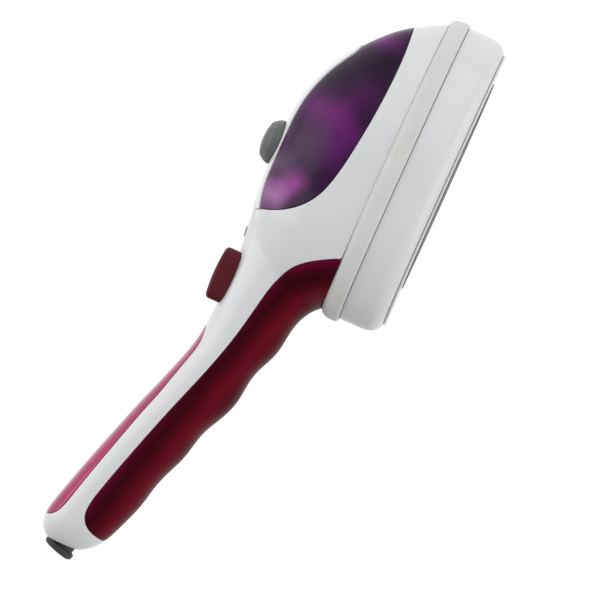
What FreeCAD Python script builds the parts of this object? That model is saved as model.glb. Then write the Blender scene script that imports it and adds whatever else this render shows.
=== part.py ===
"""Hand-held garment steamer, built as an assembly of separate pieces.

Frame: millimetres. The origin is the centre of the soleplate's working face,
which lies in the plane z = 0 and faces -Z. +X points to the nose, +Z points up
through the head to the water tank, and the handle runs back along -X.
"""
import FreeCAD, Part
import math
import os

V = FreeCAD.Vector

# ---------------------------------------------------------------- driving dimensions (mm)
# plan outlines of the head, each an egg: (rear half-length, front half-length, half-width)
OUTLINE_X = -18.0            # widest station of the head outlines
OUTLINE_N = 2.2              # exponent of the outlines
COVER_PLAN = (55.0, 94.5, 36.0)
COLLAR_PLAN = (57.0, 95.8, 37.7)
FRAME_PLAN = (49.2, 89.5, 31.0)
PLATE_PLAN = (48.0, 57.0, 24.0)   # about x = 0
DOME_PLAN = (55.6, 95.2, 34.6)    # body skin where it meets the collar

PLATE_T = 2.2                # soleplate thickness
FRAME_Z = (0.3, 1.3)         # visible rim of the sole frame
COVER_Z = (1.3, 21.0)        # head cover
COLLAR_Z = (21.4, 30.7)      # soft collar
JOINT_Z = 30.7               # body shells stand on the collar here
SHELL_T = 2.6                # shell wall
OVERLAY_T = 1.3              # grip and inlay overlay thickness
SEAM = 0.12                  # half of the gap along a seam
TANK_T = 2.2                 # tank wall
SPINE_HALF = 12.5            # half-width of the spine cover
SPINE_X = (-42.0, 48.5)

STEAM_HOLE_R = 1.0
BUTTON_X, BUTTON_L, BUTTON_W = -76.5, 26.0, 15.0
BUTTON_TOP = 84.4
BUTTON_STROKE = 5.0
BORE_R = 6.0                 # pump bore
STEM_R = 2.4
PLUG_X, PLUG_R, PLUG_TOP = -9.5, 11.0, 88.8
NECK_R = 8.0                 # bore of the filler neck
TUBE_R, TUBE_IN = 2.6, 1.6   # hose outer and inner radius
GLAND_BORE_R = 3.6           # passage for the mains cord

BUTT_X = -224.0
BUTT_ROUND = 18.0


# ---------------------------------------------------------------- curve helpers
def spline(pts):
    """Natural cubic spline through (x, y) points, straight beyond its ends."""
    n = len(pts)
    xs = [float(p[0]) for p in pts]
    ys = [float(p[1]) for p in pts]
    h = [xs[i + 1] - xs[i] for i in range(n - 1)]
    a, b, c, d = [0.0] * n, [1.0] * n, [0.0] * n, [0.0] * n
    for i in range(1, n - 1):
        a[i], b[i], c[i] = h[i - 1], 2 * (h[i - 1] + h[i]), h[i]
        d[i] = 6 * ((ys[i + 1] - ys[i]) / h[i] - (ys[i] - ys[i - 1]) / h[i - 1])
    for i in range(1, n):
        w = a[i] / b[i - 1]
        b[i] -= w * c[i - 1]
        d[i] -= w * d[i - 1]
    m = [0.0] * n
    m[-1] = d[-1] / b[-1]
    for i in range(n - 2, -1, -1):
        m[i] = (d[i] - c[i] * m[i + 1]) / b[i]
    s0 = (ys[1] - ys[0]) / h[0] - h[0] * (2 * m[0] + m[1]) / 6
    s1 = (ys[-1] - ys[-2]) / h[-1] + h[-1] * (m[-2] + 2 * m[-1]) / 6

    def f(x):
        if x <= xs[0]:
            return ys[0] + s0 * (x - xs[0])
        if x >= xs[-1]:
            return ys[-1] + s1 * (x - xs[-1])
        lo, hi = 0, n - 1
        while hi - lo > 1:
            k = (lo + hi) // 2
            if xs[k] > x:
                hi = k
            else:
                lo = k
        t, u = x - xs[lo], xs[hi] - x
        return ((m[lo] * u ** 3 + m[hi] * t ** 3) / (6 * h[lo])
                + (ys[lo] / h[lo] - m[lo] * h[lo] / 6) * u
                + (ys[hi] / h[lo] - m[hi] * h[lo] / 6) * t)

    return f


def closing(t, n):
    """1 at t = 0, rounding down to 0 at t = 1."""
    t = min(1.0, max(0.0, t))
    return (1.0 - t ** n) ** (1.0 / n)


# ---------------------------------------------------------------- outer form of the body and handle
# side-view lines: crown, underside, and the height at which each section is widest
top_line = spline([(-230, 113.4), (-215, 110.8), (-200, 107.0), (-185, 102.7), (-170, 98.1),
                   (-155, 93.3), (-147, 90.7), (-140, 88.2), (-130, 84.7), (-120, 81.4),
                   (-112, 79.1), (-105, 77.8), (-98, 77.1), (-90, 76.8), (-76, 76.8), (-62, 77.3),
                   (-52, 78.3), (-42, 79.6), (-30, 80.7), (-18, 81.3), (-4, 81.4), (6, 81.1),
                   (15, 79.9), (24, 77.4), (33, 73.6), (41, 69.0), (49, 63.4), (56, 57.3),
                   (62, 50.9), (67, 43.8), (71.5, 36.0), (75, 29.0), (77.5, 24.0)])
under_line = spline([(-230, 83.5), (-220, 80.2), (-210, 76.8), (-204, 74.5), (-198, 72.2),
                     (-192, 70.2), (-186, 68.8), (-180, 67.4), (-174, 65.4), (-168, 62.9),
                     (-162, 60.7), (-156, 59.3), (-150, 57.8), (-145, 55.8), (-140, 53.2),
                     (-135, 50.9), (-130, 49.2), (-125, 48.3), (-120, 47.8), (-116, 47.2),
                     (-112, 46.1), (-108, 44.5), (-104, 42.7), (-100, 41.3), (-95, 40.3),
                     (-90, 39.7), (-86, 39.0), (-82, 37.8), (-78, 35.9), (-75, 33.8),
                     (-72.5, 31.3), (-70, 28.2), (-66, 22.4), (-62, 17.0), (-58, 13.2),
                     (-54, 11.2), (-50, 10.3), (-44, 10), (-30, 10), (0, 10), (40, 10), (78, 10)])
mid_line = spline([(-230, 98.5), (-200, 89.7), (-170, 80.4), (-145, 72.8), (-120, 64.8),
                   (-105, 60.6), (-90, 57.8), (-80, 56), (-72, 52.8), (-64, 47.5), (-56, 40.5),
                   (-48, 33.6), (-40, 28.8), (-30, 26.4), (-20, 26), (0, 26), (50, 26), (62, 25),
                   (70, 22), (78, 17)])
handle_half = spline([(-230, 15.6), (-206, 15.9), (-190, 16.7), (-170, 17.5), (-150, 17.7),
                      (-130, 17.3), (-110, 17.0), (-95, 17.1), (-80, 17.8), (-70, 18.2),
                      (-60, 18.0), (-50, 16.8), (-40, 14.6), (-25, 9.5), (-12, 4.0), (-4, 0.8),
                      (0, 0.0), (10, 0.0), (40, 0), (80, 0)])
DOME_N, HANDLE_N, BLEND_P = 2.3, 2.3, 3.0
HEEL_X0, HEEL_R, HEEL_N = -22.0, 52.0, 2.2


def dome_half(x):
    a = DOME_PLAN[0] if x < OUTLINE_X else DOME_PLAN[1]
    return DOME_PLAN[2] * closing(abs(x - OUTLINE_X) / a, OUTLINE_N)


def dome_top(x):
    if x >= HEEL_X0:
        return top_line(x)
    return 26.0 + (top_line(HEEL_X0) - 26.0) * closing((HEEL_X0 - x) / HEEL_R, HEEL_N)


def section(x, n=160):
    """Half of the cross-section at x: (y, z) from the underside round to the crown."""
    zt, zb, zm = top_line(x), under_line(x), mid_line(x)
    wh = max(0.0, handle_half(x))
    if x < BUTT_X + BUTT_ROUND:
        k = closing((BUTT_X + BUTT_ROUND - x) / BUTT_ROUND, 2.5)
        zt, zb, wh = zm + (zt - zm) * k, zm + (zb - zm) * k, wh * k
    wd, zd = dome_half(x), dome_top(x)
    pts = []
    for i in range(n + 1):
        th = math.pi * i / n
        z = zm - (zm - zb) * math.cos(th) if th < math.pi / 2 else zm - (zt - zm) * math.cos(th)
        low = closing((zm - z) / (zm - zb), HANDLE_N) if z < zm else 1.0
        up = closing((z - zm) / (zt - zm), HANDLE_N) if z > zm else 1.0
        h = wh * up * low
        e = 0.0
        if wd > 0 and zd > 26.0 and z < zd:
            e = wd * low * (closing((z - 26.0) / (zd - 26.0), DOME_N) if z > 26.0 else 1.0)
        pts.append(((h ** BLEND_P + e ** BLEND_P) ** (1.0 / BLEND_P), z))
    pts[0], pts[-1] = (0.0, zb), (0.0, zt)
    return pts


def even(pts, n):
    """n + 1 points evenly spaced along a polyline."""
    s = [0.0]
    for a, b in zip(pts, pts[1:]):
        s.append(s[-1] + math.dist(a, b))
    out, j = [], 0
    for i in range(n + 1):
        t = s[-1] * i / n
        while j < len(s) - 2 and s[j + 1] < t:
            j += 1
        u = 0 if s[j + 1] == s[j] else (t - s[j]) / (s[j + 1] - s[j])
        out.append(tuple(p + (q - p) * u for p, q in zip(pts[j], pts[j + 1])))
    return out


# ---------------------------------------------------------------- lofted solids
def closed_poles(d):
    """Control points of the closed uniform cubic that passes through d."""
    n = len(d)
    a, b, c = 1 / 6, 4 / 6, 1 / 6
    g = -b
    diag = [b] * n
    diag[0], diag[-1] = b - g, b - a * c / g

    def tri(rhs):
        cp, dp = [0.0] * n, [0.0] * n
        cp[0], dp[0] = c / diag[0], rhs[0] / diag[0]
        for i in range(1, n):
            m = diag[i] - a * cp[i - 1]
            cp[i], dp[i] = c / m, (rhs[i] - a * dp[i - 1]) / m
        x = [0.0] * n
        x[-1] = dp[-1]
        for i in range(n - 2, -1, -1):
            x[i] = dp[i] - cp[i] * x[i + 1]
        return x

    z = tri([g] + [0.0] * (n - 2) + [c])
    comps = []
    for k in range(3):
        y = tri([p[k] for p in d])
        f = (y[0] + a * y[-1] / g) / (1 + z[0] + a * z[-1] / g)
        comps.append([y[i] - f * z[i] for i in range(n)])
    return [V(*p) for p in zip(*comps)]


def loft(rows):
    """Solid through closed rows of points, with flat ends."""
    q = [closed_poles(r) for r in rows]
    n, m = len(rows), len(rows[0])
    t = [0.0]
    for i in range(n - 1):
        t.append(t[-1] + sum(math.dist(tuple(rows[i][j]), tuple(rows[i + 1][j])) for j in range(m)) / m)
    cols = []
    for j in range(m):
        c = Part.BSplineCurve()
        c.interpolate(Points=[q[i][j] for i in range(n)], Parameters=t)
        cols.append(c.getPoles())
        kn, mu = c.getKnots(), c.getMultiplicities()
    s = Part.BSplineSurface()
    s.buildFromPolesMultsKnots([[cols[j][i] for j in range(m)] for i in range(len(cols[0]))], mu,
                               [1] * (m + 1), kn, [float(k) for k in range(m + 1)], False, True, 3, 3)
    faces = [s.toShape()]
    for u in (s.bounds()[0], s.bounds()[1]):
        c = s.uIso(u)
        pl = c.getPoles()
        mid = V(0, 0, 0)
        for p in pl:
            mid += p
        mid = mid * (1.0 / len(pl))
        cap = Part.BSplineSurface()
        cap.buildFromPolesMultsKnots([pl, [mid] * len(pl)], [2, 2], c.getMultiplicities(), [0.0, 1.0],
                                     c.getKnots(), False, True, 1, 3)
        faces.append(cap.toShape())
    sh = Part.makeShell(faces)
    sh.sewShape()
    so = Part.makeSolid(sh)
    if so.Volume < 0:
        so.reverse()
    return so


SECTION_PTS = 22             # points on each half of a body section


def stations():
    xs = [BUTT_X + BUTT_ROUND * s * s for s in (0.14, 0.28, 0.44, 0.62, 0.8, 1.0)]
    for x0, x1, step in ((-201.0, -95.0, 5.6), (-95.0, -40.0, 4.6), (-40.0, 40.0, 7.0), (40.0, 66.0, 4.5)):
        k = round((x1 - x0) / step)
        xs += [x0 + (x1 - x0) * i / k for i in range(k)]
    return xs + [66.0, 68.5, 71.0, 73.0, 74.6, 76.0]


BODY_ROWS = []
for _x in stations():
    _h = even(section(_x), SECTION_PTS)
    BODY_ROWS.append([(_x, y, z) for y, z in _h] + [(_x, -y, z) for y, z in _h[-2:0:-1]])


def skin(d):
    """The body's outer form moved out by d (a number, or a function of x)."""
    n, m = len(BODY_ROWS), len(BODY_ROWS[0])
    rows = []
    for i in range(n):
        r = []
        for j in range(m):
            p = V(*BODY_ROWS[i][j])
            du = V(*BODY_ROWS[min(n - 1, i + 1)][j]) - V(*BODY_ROWS[max(0, i - 1)][j])
            dv = V(*BODY_ROWS[i][(j + 1) % m]) - V(*BODY_ROWS[i][(j - 1) % m])
            nn = du.cross(dv)
            nn.normalize()
            ctr = V(p.x, 0, (BODY_ROWS[i][0][2] + BODY_ROWS[i][m // 2][2]) / 2)
            if nn.dot(p - ctr) < 0:
                nn = nn * -1
            r.append(p + nn * (d(p.x) if callable(d) else d))
        rows.append(r)
    return loft(rows)


# ---------------------------------------------------------------- small solids
def egg_pts(plan, xm=OUTLINE_X, inset=0.0, n=OUTLINE_N, k=56):
    a1, a2, b = (v - inset for v in plan)
    pts = []
    for i in range(k):
        th = 2 * math.pi * i / k
        c, s = math.cos(th), math.sin(th)
        a = a2 if c >= 0 else a1
        pts.append((xm + a * math.copysign(abs(c) ** (2 / n), c), b * math.copysign(abs(s) ** (2 / n), s)))
    pts.append(pts[0])
    return even(pts, k)[:-1]


def egg_wire(plan, z, xm=OUTLINE_X, inset=0.0):
    c = Part.BSplineCurve()
    pts = [V(x, y, z) for x, y in egg_pts(plan, xm, inset)]
    c.interpolate(Points=pts, PeriodicFlag=True)
    return Part.Wire([c.toShape()])


def egg_plate(plan, z0, z1, xm=OUTLINE_X, inset=0.0):
    return Part.Face(egg_wire(plan, z0, xm, inset)).extrude(V(0, 0, z1 - z0))


def egg_stack(plan, levels, xm=OUTLINE_X):
    """Rounded ring blank: levels are (z, inset) pairs from the bottom up."""
    return loft([[(x, y, z) for x, y in egg_pts(plan, xm, i, k=48)] for z, i in levels])


def box(x0, x1, y0, y1, z0, z1):
    return Part.makeBox(x1 - x0, y1 - y0, z1 - z0, V(x0, y0, z0))


def cyl(r, p, q):
    d = V(*q) - V(*p)
    return Part.makeCylinder(r, d.Length, V(*p), d)


def tube(r, ri, p, q):
    return cyl(r, p, q).cut(cyl(ri, p, q))


def rounded_box(x0, x1, y0, y1, z0, z1, r):
    b = box(x0, x1, y0, y1, z0, z1)
    return b.makeFillet(r, [e for e in b.Edges if abs(e.Vertexes[0].X - e.Vertexes[1].X) < 1e-6
                            and abs(e.Vertexes[0].Y - e.Vertexes[1].Y) < 1e-6])


def turned(profile, base, axis=(0, 0, 1)):
    """Solid of revolution from (radius, height) points, standing on base along axis."""
    pts = [V(r, 0, h) for r, h in profile]
    f = Part.Face(Part.makePolygon(pts + [pts[0]]))
    s = f.revolve(V(0, 0, 0), V(0, 0, 1), 360)
    s.Placement = FreeCAD.Placement(V(*base), FreeCAD.Rotation(V(0, 0, 1), V(*axis)))
    return s


def smooth_bar(pts, r):
    """Round bar along a smooth route through the points."""
    t = [0.0]
    for p, q in zip(pts, pts[1:]):
        t.append(t[-1] + math.dist(p, q) ** 0.7)
    c = Part.BSplineCurve()
    c.interpolate(Points=[V(*p) for p in pts], Parameters=t)
    prof = Part.Wire([Part.Circle(V(*pts[0]), c.tangent(c.FirstParameter)[0], r).toShape()])
    s = Part.Wire([c.toShape()]).makePipeShell([prof], True, True)
    if s.Volume < 0:
        s.reverse()
    return s


def hose(pts, r, ri):
    return smooth_bar(pts, r).cut(smooth_bar(pts, ri))


def screw(p, d, length, head_r=2.8, head_h=2.0, shank_r=1.35):
    """Pan-head screw: p is under the head, d the driving direction."""
    d = V(*d)
    d.normalize()
    s = turned([(0, -head_h), (head_r * 0.72, -head_h), (head_r, -head_h * 0.55), (head_r, 0), (shank_r, 0),
                (shank_r, length - 1.4), (0.2, length), (0, length)], p, (d.x, d.y, d.z))
    q = V(*p) - d * head_h
    rot = FreeCAD.Rotation(V(0, 0, 1), d)
    for ang in (0, 90):
        sl = Part.makeBox(head_r * 1.1, 0.6, 1.0, V(-head_r * 0.55, -0.3, 0))
        sl.Placement = FreeCAD.Placement(q, rot.multiply(FreeCAD.Rotation(V(0, 0, 1), ang)))
        s = s.cut(sl)
    return s


def side_prism(curve, closing_pts, half=60.0):
    """Prism across the body: a smooth side-view curve (x, z), closed by straight runs."""
    c = Part.BSplineCurve()
    c.interpolate(Points=[V(x, -half, z) for x, z in curve])
    edges = [c.toShape()]
    loop = [curve[-1]] + closing_pts + [curve[0]]
    for a, b in zip(loop, loop[1:]):
        edges.append(Part.LineSegment(V(a[0], -half, a[1]), V(b[0], -half, b[1])).toShape())
    return Part.Face(Part.Wire(edges)).extrude(V(0, 2 * half, 0))


def shift(curve, d):
    """The curve moved d to its left."""
    out = []
    for i, (x, z) in enumerate(curve):
        a, b = curve[max(0, i - 1)], curve[min(len(curve) - 1, i + 1)]
        dx, dz = b[0] - a[0], b[1] - a[1]
        L = math.hypot(dx, dz)
        out.append((x - dz / L * d, z + dx / L * d))
    return out


def one(shape):
    """The shape with split faces merged, as one solid."""
    shape = shape.removeSplitter()
    return max(shape.Solids, key=lambda s: s.Volume)


def group(*shapes):
    return Part.makeCompound([s for sh in shapes for s in sh.Solids])


# ---------------------------------------------------------------- side-view seams
GRIP_SEAM = [(-44.5, 20.0), (-46.6, 27.0), (-48.6, 32.6), (-50.5, 36.4), (-53.5, 41.6), (-57.0, 46.4),
             (-61.0, 50.3), (-66.0, 53.2), (-72.0, 55.5), (-80.0, 57.3), (-90.0, 59.2), (-100.0, 61.3),
             (-110.0, 63.9), (-120.0, 66.9), (-130.0, 70.2), (-140.0, 73.6), (-150.0, 76.9),
             (-165.0, 81.6), (-180.0, 86.1), (-192.0, 89.5), (-200.0, 91.2), (-205.5, 91.0),
             (-209.5, 88.6), (-212.3, 84.0), (-214.0, 77.0), (-214.8, 68.0)]
INLAY_SEAM = [(-98.6, 80.5), (-99.8, 78.2), (-101.8, 76.8), (-105.0, 76.1), (-110.0, 75.9),
              (-115.0, 76.8), (-120.0, 78.1), (-125.0, 79.5), (-130.0, 80.9), (-135.0, 82.2),
              (-140.0, 83.6), (-148.0, 86.2), (-160.0, 89.8), (-175.0, 94.1), (-190.0, 98.3),
              (-200.0, 100.9), (-206.0, 102.7), (-210.0, 105.0), (-212.5, 109.0), (-213.5, 115.0)]
TANK_SEAM = [(-42.6, 84.0), (-42.0, 79.0), (-41.0, 74.0), (-39.0, 68.0), (-36.0, 62.4), (-31.0, 56.6),
             (-25.0, 52.4), (-15.0, 48.9), (0.0, 46.2), (20.0, 44.0), (40.0, 43.1), (52.0, 43.4),
             (64.0, 44.8), (72.0, 46.4), (80.0, 48.4)]


def grip_zone(d):
    return side_prism(shift(GRIP_SEAM, d), [(-214.8, -20), (-44.5, -20)])


def inlay_zone(d):
    return side_prism(shift(INLAY_SEAM, -d), [(-213.5, 130), (-98.6, 130)])


def tank_zone(d):
    """The tank's side view, drawn in by d along its floor and back."""
    return side_prism(shift(TANK_SEAM, d), [(80, 110), (-42.6, 110)])


def spine_zone(d):
    """Plan of the spine cover, drawn in by d, as an upright prism."""
    x0, x1, h, r = SPINE_X[0] + d, SPINE_X[1] - d, SPINE_HALF - d, 8.0
    b = box(x0, x1, -h, h, 52, 120)
    return b.makeFillet(r, [e for e in b.Edges if abs(e.Vertexes[0].Z - e.Vertexes[1].Z) > 1
                            and e.Vertexes[0].X > 0])


def spine_rise(x):
    return 0.40 + 0.5 * max(0.0, min(1.0, (x + 10) / 55.0))


NODES = {}
ABOVE = box(-260, 110, -60, 60, JOINT_Z, 150)

out0 = skin(0.0)
in_shell = skin(-SHELL_T)
in_over = skin(-OVERLAY_T)
in_tank = skin(-TANK_T)
spine_out = skin(spine_rise)
spine_in = skin(-1.4)
spine_floor = skin(-1.5)
under_spine = skin(-1.5 - TANK_T)

# handle axis at the butt, along which the cord leaves
AX_DZ = (mid_line(-224) - mid_line(-206)) / -18.0
_l = math.hypot(1.0, AX_DZ)
BACK = V(-1.0 / _l, 0, -AX_DZ / _l)         # out of the butt
BUTT = V(-224.0, 0, mid_line(-224.0))


def along(s, dy=0.0, up=0.0):
    """Point on the handle axis, s forward of the butt."""
    p = BUTT - BACK * s
    n = V(-BACK.z, 0, BACK.x) * -1
    return (p.x + n.x * up, dy, p.z + n.z * up)


# ---------------------------------------------------------------- body shells
skin_wall = out0.cut(in_shell).common(ABOVE)
wall = skin_wall.cut(tank_zone(-SEAM))
wall = wall.cut(grip_zone(-SEAM).cut(in_over))
wall = wall.cut(inlay_zone(-SEAM).cut(in_over))
wall = wall.cut(spine_zone(-SEAM).cut(spine_floor))

# screw posts between the two halves, along Y: (x, z)
POSTS = [(-62.0, 40.0), (-104.0, 51.5), (-142.0, 63.0), (-188.0, 79.0)]
posts = []
for x, z in POSTS:
    posts.append(cyl(3.4, (x, -40, z), (x, 40, z)))
post_solid = posts[0].multiFuse(posts[1:]).common(in_over)
# upright posts that take the collar screws: (x, y)
FEET = [(-57.0, 17.5), (-57.0, -17.5), (56.0, 16.0), (56.0, -16.0)]
feet = []
for x, y in FEET:
    f = cyl(3.3, (x, y, JOINT_Z), (x, y, 40.0))
    web = box(x - 1.1, x + 1.1, *(sorted((y, math.copysign(40, y)))), JOINT_Z, 39.0)
    feet.append(f.fuse(web))
feet_solid = feet[0].multiFuse(feet[1:]).common(in_over)

button_hole = rounded_box(BUTTON_X - BUTTON_L / 2 - 0.35, BUTTON_X + BUTTON_L / 2 + 0.35,
                          -BUTTON_W / 2 - 0.35, BUTTON_W / 2 + 0.35, 68, 95, 3.8)
LENS_X, LENS_Z = -53.6, top_line(-53.6)
lens_hole = cyl(2.55, (LENS_X, 0, 70), (LENS_X, 0, 90))
gland_hole = cyl(6.3, along(-12), along(9))

for side, name in ((1, "left_shell"), (-1, "right_shell")):
    half = box(-260, 110, 0.0 if side > 0 else -60, 60 if side > 0 else 0.0, 0, 150)
    s = wall.common(half)
    p = post_solid.common(half)
    s = s.fuse([p, feet_solid.common(half)])
    for x, z in POSTS:
        if side > 0:
            s = s.cut(cyl(1.6, (x, -1, z), (x, 60, z)))
            s = s.cut(cyl(3.0, (x, 9.5, z), (x, 60, z)) if abs(x + 62) > 1 else cyl(3.0, (x, 16.5, z), (x, 60, z)))
        else:
            s = s.cut(cyl(1.3, (x, -11.0, z), (x, 1, z)))
    for x, y in FEET:
        s = s.cut(cyl(1.3, (x, y, JOINT_Z - 1), (x, y, 39.0)))
    s = s.cut([button_hole, lens_hole, gland_hole])
    NODES[name] = one(s)

# ---------------------------------------------------------------- grip and inlay overlays
over = out0.cut(in_over)
NODES["grip"] = one(over.common(grip_zone(SEAM)).common(box(-260, 110, -60, 60, JOINT_Z + 0.05, 150)))
NODES["handle_inlay"] = one(over.common(inlay_zone(SEAM)))

# ---------------------------------------------------------------- water tank and spine cover
tank = out0.common(tank_zone(SEAM))
tank = tank.cut(spine_zone(-0.2).cut(spine_floor))
cavity = in_tank.common(tank_zone(TANK_T + SEAM))
cavity = cavity.cut(spine_zone(-0.2 - TANK_T).cut(under_spine))
tank = tank.cut(cavity)
neck = cyl(NECK_R + 1.6, (PLUG_X, 0, 71.0), (PLUG_X, 0, 80.4))
tank = tank.fuse(neck).cut(cyl(NECK_R, (PLUG_X, 0, 60), (PLUG_X, 0, 95)))
OUTLET = (6.0, 8.0)
tank = tank.fuse(cyl(2.4, (OUTLET[0], OUTLET[1], 41.2), (OUTLET[0], OUTLET[1], 46.6)))
tank = tank.cut(cyl(1.0, (OUTLET[0], OUTLET[1], 30), (OUTLET[0], OUTLET[1], 60)))
tank = tank.cut(tube(4.0, 1.5, (OUTLET[0], OUTLET[1], 30), (OUTLET[0], OUTLET[1], 43.2)))
NODES["water_tank"] = one(tank)

spine = spine_out.cut(spine_in).common(spine_zone(0.0))
spine = spine.cut(cyl(NECK_R + 2.0, (PLUG_X, 0, 60), (PLUG_X, 0, 95)))
NODES["spine_cover"] = one(spine)

# ---------------------------------------------------------------- filler plug and its seal
plug = turned([(0, 74.6), (5.4, 74.6), (6.0, 75.2), (7.0, 75.6), (7.0, 77.2), (6.2, 77.2), (6.2, 78.8),
               (7.0, 78.8), (7.0, 84.4), (0, 84.4)], (PLUG_X, 0, 0))
dome = turned([(0, 78.6), (PLUG_R, 78.6), (PLUG_R, 84.4), (10.7, 85.7),
               (10.0, 86.8), (8.9, 87.6), (7.4, 88.2), (5.0, 88.6), (2.5, 88.75), (0, PLUG_TOP)],
              (PLUG_X, 0, 0))
plug = plug.fuse(dome.cut(skin(lambda x: spine_rise(x) + 0.3)))
plug = plug.cut(cyl(4.6, (PLUG_X, 0, 70), (PLUG_X, 0, 86.2)))
NODES["filler_plug"] = one(plug)
NODES["filler_seal"] = one(turned([(6.22, 77.3), (7.6, 77.3), (7.9, 77.7), (7.9, 78.3), (7.6, 78.7), (6.22, 78.7)],
                                  (PLUG_X, 0, 0)))

# ---------------------------------------------------------------- steam button and pump
def rr_pts(lx, ly, r, inset, cx):
    hx, hy, rr = lx / 2 - inset, ly / 2 - inset, max(0.6, r - inset)
    pts = []
    for q, (sx, sy) in enumerate(((1, 1), (-1, 1), (-1, -1), (1, -1))):
        for k in range(9):
            th = math.pi / 2 * (q + k / 8)
            pts.append((cx + sx * (hx - rr) + rr * math.cos(th), sy * (hy - rr) + rr * math.sin(th)))
    pts.append(pts[0])
    return even(pts, 56)[:-1]


_t = BUTTON_TOP
cap = loft([[(x, y, z) for x, y in rr_pts(BUTTON_L, BUTTON_W, 3.6, i, BUTTON_X)] for z, i in
            ((73.2, 0), (76.0, 0), (79.0, 0), (_t - 2.6, 0), (_t - 2.0, 0.06), (_t - 1.4, 0.3), (_t - 0.85, 0.75),
             (_t - 0.45, 1.35), (_t - 0.2, 2.1), (_t - 0.05, 3.2), (_t, 4.6))])
cap = cap.cut(rounded_box(BUTTON_X - BUTTON_L / 2 + 1.8, BUTTON_X + BUTTON_L / 2 - 1.8, -BUTTON_W / 2 + 1.8,
                          BUTTON_W / 2 - 1.8, 60, _t - 2.4, 2.0))
lip = rounded_box(BUTTON_X - BUTTON_L / 2 - 1.6, BUTTON_X + BUTTON_L / 2 + 1.6, -BUTTON_W / 2 - 1.0,
                  BUTTON_W / 2 + 1.0, 71.6, 73.2, 3.0)
lip = lip.cut(rounded_box(BUTTON_X - BUTTON_L / 2 + 1.8, BUTTON_X + BUTTON_L / 2 - 1.8, -BUTTON_W / 2 + 1.8,
                          BUTTON_W / 2 - 1.8, 60, 90, 2.0))
socket = tube(4.0, STEM_R, (BUTTON_X, 0, 77.0), (BUTTON_X, 0, _t - 2.4))
NODES["steam_button"] = one(cap.fuse([lip, socket]))
# room for the lip inside the shells
for name in ("left_shell", "right_shell"):
    NODES[name] = one(NODES[name].cut(box(BUTTON_X - BUTTON_L / 2 - 2.4, BUTTON_X + BUTTON_L / 2 + 2.4,
                                          -BUTTON_W / 2 - 1.7, BUTTON_W / 2 + 1.7, 60, 73.6)))

PX = BUTTON_X
NODES["pump_plunger"] = one(turned([(0, 57.0), (5.7, 57.0), (5.7, 58.2), (4.9, 58.2), (4.9, 60.2), (5.7, 60.2),
                                    (5.7, 61.4), (STEM_R - 0.05, 61.4), (STEM_R - 0.05, 81.6), (0, 81.6)], (PX, 0, 0)))
NODES["piston_ring"] = one(turned([(4.92, 58.3), (5.6, 58.3), (5.95, 58.7), (5.95, 59.7), (5.6, 60.1), (4.92, 60.1)],
                                  (PX, 0, 0)))
cylr = turned([(0, 46.0), (7.8, 46.0), (7.8, 63.0), (10.2, 63.0), (10.2, 64.6), (BORE_R, 64.6), (BORE_R, 50.6),
               (0, 50.6)], (PX, 0, 0))
# valve pockets at the foot of the cylinder and their nipples
for dy in (3.4, -3.4):
    cylr = cylr.fuse(cyl(2.9, (PX, dy, 48.3), (PX + 14.5, dy, 48.3)))
    cylr = cylr.cut(tube(4.4, 1.5, (PX + 10.5, dy, 48.3), (PX + 16, dy, 48.3)))
for dy in (3.4, -3.4):
    cylr = cylr.cut(cyl(0.9, (PX + 1.0, dy, 48.3), (PX + 20, dy, 48.3)))
    cylr = cylr.cut(cyl(1.75, (PX + 1.0, dy, 48.3), (PX + 7.2, dy, 48.3)))
    cylr = cylr.cut(cyl(0.8, (PX + 1.8, dy, 48.3), (PX + 1.8, dy, 51)))
ears = []
for sx in (-1, 1):
    ears.append(box(PX + sx * 9 - 5, PX + sx * 9 + 5, -3.6, 3.6, 63.0, 64.6))
cylr = cylr.fuse(ears)
for sx in (-1, 1):
    cylr = cylr.cut(cyl(1.5, (PX + sx * 11.6, 0, 60), (PX + sx * 11.6, 0, 70)))
NODES["pump_cylinder"] = one(cylr)
NODES["inlet_valve_ball"] = Part.makeSphere(1.55, V(PX + 5.4, 3.4, 48.3))
NODES["outlet_valve_ball"] = Part.makeSphere(1.55, V(PX + 5.4, -3.4, 48.3))
guide = turned([(STEM_R + 0.25, 64.65), (9.0, 64.65), (9.0, 66.2), (4.0, 66.2), (4.0, 67.6), (STEM_R + 0.25, 67.6)],
               (PX, 0, 0))
NODES["pump_guide"] = one(guide)


def spring(r, wire, z0, z1, turns, x, y):
    pts, k = [], 14
    n = int(turns * k)
    for i in range(n + 1):
        t = i / n
        th = 2 * math.pi * turns * t
        pts.append(V(x + r * math.cos(th), y + r * math.sin(th), z0 + wire + (z1 - z0 - 2 * wire) * t))
    c = Part.BSplineCurve()
    c.interpolate(Points=pts)
    e = c.toShape()
    prof = Part.Wire([Part.Circle(pts[0], c.tangent(c.FirstParameter)[0], wire).toShape()])
    s = Part.Wire([e]).makePipeShell([prof], True, True)
    if s.Volume < 0:
        s.reverse()
    return s


NODES["pump_spring"] = spring(4.9, 0.45, 66.2, 81.9, 6, PX, 0)

# rails in the shells that carry the cylinder flange
for name, side in (("left_shell", 1), ("right_shell", -1)):
    rail = box(PX - 14.6, PX + 14.6, *(sorted((side * 0.0, side * 40))), 60.6, 62.95)
    rail = rail.common(in_over)
    rail = rail.cut(cyl(8.1, (PX, 0, 50), (PX, 0, 70)))
    s = NODES[name].fuse(rail)
    for sx in (-1, 1):
        s = s.cut(cyl(1.15, (PX + sx * 11.6, 0, 58), (PX + sx * 11.6, 0, 66)))
    NODES[name] = one(s)
NODES["pump_screws"] = group(*[screw((PX + sx * 11.6, 0, 64.65), (0, 0, -1), 4.6, 2.3, 1.5, 1.1) for sx in (-1, 1)])

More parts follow.
